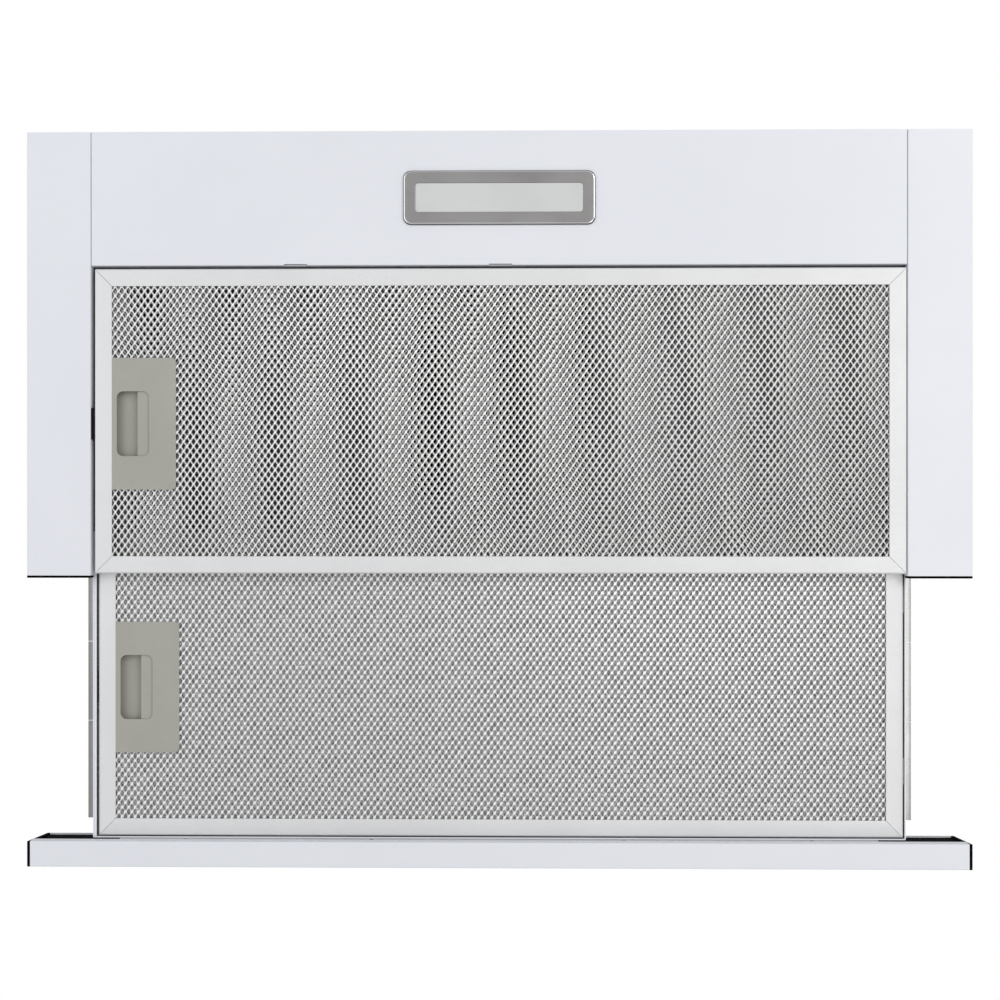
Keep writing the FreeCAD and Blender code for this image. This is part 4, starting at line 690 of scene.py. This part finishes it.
# Latch springs: in the real latch each leaf is pressed flat as its latch is pulled; here each leaf is eased and gets
# a mesh of its own
springSize = {"ease": 0.06, "travel": 4.5}
for latch in ("rear", "front"):
    leaf = easedPiece(latch + "_latch_spring", springSize["ease"], 1, even=False)
    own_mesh(leaf)


# Inner rails: a channel whose lower flange is rolled hollow for the balls
railSize = {"gauge": 1.2, "race": 0.3, "raceWidth": 1.6, "raceSteps": 4, "joint": 0.4, "edge": 0.15,
            "joints": (63.1, 114.3)}


def innerRail(name, node, side):
    low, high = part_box(node)
    inner, outer = sorted((abs(low.x), abs(high.x)))
    gauge, joint = railSize["gauge"] * mm, railSize["joint"] * mm
    middle = (inner + outer) / 2
    mesh = freshMesh()
    ends = [low.y] + [low.y + place * mm for place in railSize["joints"]] + [high.y]
    for start, end in zip(ends, ends[1:]):
        y1 = end - joint if end < high.y else end
        flange = freshMesh()
        addBox(flange, inner, outer, start, y1, low.z, low.z + gauge)
        cutPlane(flange, (middle, 0, 0), (1, 0, 0), False)
        crown = [v for v in flange.verts if abs(v.co.x - middle) < 1e-6 and v.co.z < low.z + gauge / 2]
        bmesh.ops.translate(flange, vec=(0, 0, railSize["race"] * mm), verts=crown)
        ridge = [e for e in flange.edges if crown[0] in e.verts and crown[1] in e.verts]
        bevelEdges(flange, ridge, railSize["raceWidth"] * mm, railSize["raceSteps"], clamp=False)
        addMesh(mesh, flange)
    roundedBox(mesh, inner, inner + gauge, low.y, high.y, low.z + gauge, high.z - gauge, railSize["edge"] * mm, 1)
    roundedBox(mesh, inner, outer, low.y, high.y, high.z - gauge, high.z, railSize["edge"] * mm, 2)
    bmesh.ops.scale(mesh, vec=(side, 1, 1), verts=mesh.verts)
    bmesh.ops.recalc_face_normals(mesh, faces=mesh.faces)
    return makePiece(name, mesh, railSteel, nodeBodies[node], [node], smooth=50)


innerRail("railInnerRight", "rail_inner_right", 1)
innerRail("railInnerLeft", "rail_inner_left", -1)


# Tray hem on the latch side, and a black rubber lining low in the gap round the drawer's filter: a seal that stands
# as painted shade in the gap
sealSize = {"wall": 0.8, "hem": 1.45, "hemRise": 0.8, "hemEdge": 0.2, "hemEnd": 1.0, "play": 0.03, "lining": 0.35,
            "low": 0.3, "rise": 0.65, "outerCorner": 0.8, "innerCorner": 0.5}


def trayHem():
    mesh = freshMesh()
    outer = trayHigh.x - (sealSize["wall"] + sealSize["play"]) * mm
    end = sealSize["hemEnd"] * mm
    roundedBox(mesh, outer - sealSize["hem"] * mm, outer, drawerFront + end, trayHigh.y - end, trayLow.z,
               trayLow.z + sealSize["hemRise"] * mm, sealSize["hemEdge"] * mm)
    return makePiece("trayHem", mesh, whitePaint, "drawer")


# painted shade: a thin black rubber lining on the tray's inner walls darkens the gap round the drawer's filter
def drawerSeal():
    mesh = freshMesh()
    wall = (sealSize["wall"] + 2 * sealSize["play"]) * mm
    thick, low = sealSize["lining"] * mm, trayLow.z + sealSize["low"] * mm
    x0, x1 = trayLow.x + wall, trayHigh.x - wall - sealSize["hem"] * mm
    y0, y1 = drawerFront + wall, trayHigh.y - wall
    outerCorners, innerCorners = (sealSize["outerCorner"] * mm,) * 4, (sealSize["innerCorner"] * mm,) * 4
    plateWithHole(mesh, (x0, x1, y0, y1, low, outerCorners),
                  (x0 + thick, x1 - thick, y0 + thick, y1 - thick, low, innerCorners), sealSize["rise"] * mm)
    return makePiece("drawerSeal", mesh, rubberBlack, "drawer")


trayHem()
drawerSeal()
print("edges eased")


# Lamp bezel: a thin plate with a polished rim round the window, a painted highlight on the rim's flatter faces and
# painted shade on its steeper ones, and the neck behind it
bezelSize = {"corner": 5.0, "windowX": 106.5, "windowY": 18.4, "windowCorner": 2.0, "plate": 1.6, "rim": 1.35,
             "rimSteps": 3, "rimZone": 3.0, "step": 3.0, "wall": 1.6, "edge": 0.4, "neckOuter": 2.0,
             "neckInner": 1.0, "rimAngle": 60}
# normal heights of the rim faces that take the painted highlight and the painted shade, with their material index
rimSlopes = {"polished": (-0.99, -0.9, 1), "shaded": (-0.8, 0.1, 2)}


def roundedOutline(middle, sizeX, sizeY, z, corner):
    halfX, halfY = sizeX / 2, sizeY / 2
    return (middle.x - halfX, middle.x + halfX, middle.y - halfY, middle.y + halfY, z, (corner,) * 4)


def lampBezel():
    low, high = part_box("lamp_bezel")
    middle, size = (low + high) / 2, high - low
    edge, plate, rim = bezelSize["edge"] * mm, bezelSize["plate"] * mm, bezelSize["rim"] * mm
    windowX, windowY = bezelSize["windowX"] * mm, bezelSize["windowY"] * mm
    hole = roundedOutline(middle, windowX, windowY, low.z, bezelSize["windowCorner"] * mm)
    mesh = freshMesh()
    outer = roundedOutline(middle, size.x, size.y, low.z, bezelSize["corner"] * mm)
    plateWithHole(mesh, outer, hole, plate, segments=6)

    def outside(edgeVerts):
        return all(abs(v.co.z - low.z) < 1e-6 and (abs(v.co.x - middle.x) > windowX / 2 + edge
                                                   or abs(v.co.y - middle.y) > windowY / 2 + edge)
                   for v in edgeVerts)

    rims = [e for e in sharpEdges(mesh, bezelSize["rimAngle"]) if outside(e.verts)]
    bevelEdges(mesh, rims, rim, bezelSize["rimSteps"], clamp=False)
    inner = [e for e in sharpEdges(mesh, bezelSize["rimAngle"]) if all(abs(v.co.z - low.z) < 1e-6 for v in e.verts)]
    bevelEdges(mesh, inner, edge, 2, clamp=False)
    bmesh.ops.recalc_face_normals(mesh, faces=mesh.faces)
    reachX, reachY = size.x / 2 - bezelSize["rimZone"] * mm, size.y / 2 - 2 * rim
    # painted highlight and painted shade: the rim's flatter faces take the light rim material, its steeper faces the
    # dark one
    for lowest, highest, index in rimSlopes.values():
        paintFaces(mesh, lambda centre, normal: lowest < normal.z < highest and (
            abs(centre.y - middle.y) > reachY or abs(centre.x - middle.x) > reachX), index)
    step, wall = 2 * bezelSize["step"] * mm, 2 * bezelSize["wall"] * mm
    neck = freshMesh()
    neckBase = low.z + plate
    plateWithHole(neck, roundedOutline(middle, size.x - step, size.y - step, neckBase, bezelSize["neckOuter"] * mm),
                  roundedOutline(middle, size.x - step - wall, size.y - step - wall, neckBase,
                                 bezelSize["neckInner"] * mm),
                  high.z - low.z - plate)
    addMesh(mesh, neck)
    return makePiece("lampBezel", mesh, bezelMetal, "housing", ["lamp_bezel"], 50,
                     [polishedRim, rimShade])


lampBezel()
print("lamp bezel made")


# Camera, daylight and floor
cameraSet = {"place": (-0.01544, -0.09263, -0.9574), "turn": (-0.0005, math.pi + 0.0151, 0), "lens": 52.08,
             "sensor": 36.0}
lightSet = {"keyLight": {"place": (-1.1, 0.5, -1.2), "aim": (0, -0.1, 0), "width": 0.9, "power": 8.3,
                         "colour": (1.0, 0.995, 0.985)},
            "sideLight": {"place": (-0.56, -0.3, -1.15), "aim": (-0.3, -0.15, 0), "width": 0.5, "power": 1.4,
                         "colour": (1.0, 0.995, 0.985)},
            "fillLight": {"place": (1.0, 0.2, -1.1), "aim": (0, -0.1, 0), "width": 1.6, "power": 6.5,
                         "colour": (0.97, 0.985, 1.0)},
            "topLight": {"place": (-0.8, -1.2, 1.6), "aim": (0, 0, 0.1), "width": 2.2, "power": 18.0,
                         "colour": (1.0, 0.99, 0.98)}}
floorSet = {"half": 8.0, "height": -1.45}
camera = bpy.data.objects.new("camera", bpy.data.cameras.new("camera"))
camera.location = cameraSet["place"]
camera.rotation_euler = cameraSet["turn"]
camera.data.lens = cameraSet["lens"]
camera.data.sensor_width = cameraSet["sensor"]
camera.data.clip_start = 0.01
scene.collection.objects.link(camera)
scene.camera = camera
scene.view_settings.view_transform = "Standard"


def makeSky(ambient, white):
    world = bpy.data.worlds.new("studio")
    world.use_nodes = True
    scene.world = world
    tree = world.node_tree
    sky = tree.nodes["Background"]
    backdrop = addNode(tree, "ShaderNodeBackground", Color=(1, 1, 1, 1), Strength=white)
    path = addNode(tree, "ShaderNodeLightPath")
    mix = addNode(tree, "ShaderNodeMixShader")
    sky.inputs["Color"].default_value = (*ambient, 1)
    tree.links.new(path.outputs["Is Camera Ray"], mix.inputs["Fac"])
    tree.links.new(sky.outputs["Background"], mix.inputs[1])
    tree.links.new(backdrop.outputs["Background"], mix.inputs[2])
    tree.links.new(mix.outputs["Shader"], tree.nodes["World Output"].inputs["Surface"])


def softLight(name, place, aim, width, power, colour):
    lamp = bpy.data.objects.new(name, bpy.data.lights.new(name, "AREA"))
    lamp.data.shape = "DISK"
    lamp.data.size = width
    lamp.data.energy = power
    lamp.data.color = colour
    lamp.location = place
    lamp.rotation_euler = (vector(*aim) - vector(*place)).to_track_quat("-Z", "Y").to_euler()
    lamp.visible_camera = False
    scene.collection.objects.link(lamp)


makeSky((0.55, 0.555, 0.565), 1.0)
for name, light in lightSet.items():
    softLight(name, **light)

floorMesh = freshMesh()
bmesh.ops.create_grid(floorMesh, x_segments=1, y_segments=1, size=floorSet["half"],
                      matrix=Matrix.Translation((0, 0, floorSet["height"])))
floorData = bpy.data.meshes.new("floor")
floorMesh.to_mesh(floorData)
floorMesh.free()
floorMaterial, floorTree, floorShader, floorPlace = startMaterial("paleFloor", Roughness=0.8)
floorCloud = useGroup(floorTree, hazeGroup, floorPlace, Scale=1.2, From=0.3, To=0.7)
floorTone = mixColours(floorTree, floorCloud.outputs["Mask"], (0.86, 0.86, 0.86), (0.83, 0.83, 0.83))
floorTree.links.new(floorTone, floorShader.inputs["Base Color"])
floorData.materials.append(floorMaterial)
floor = bpy.data.objects.new("floor", floorData)
scene.collection.objects.link(floor)
print("camera, lights and floor placed")
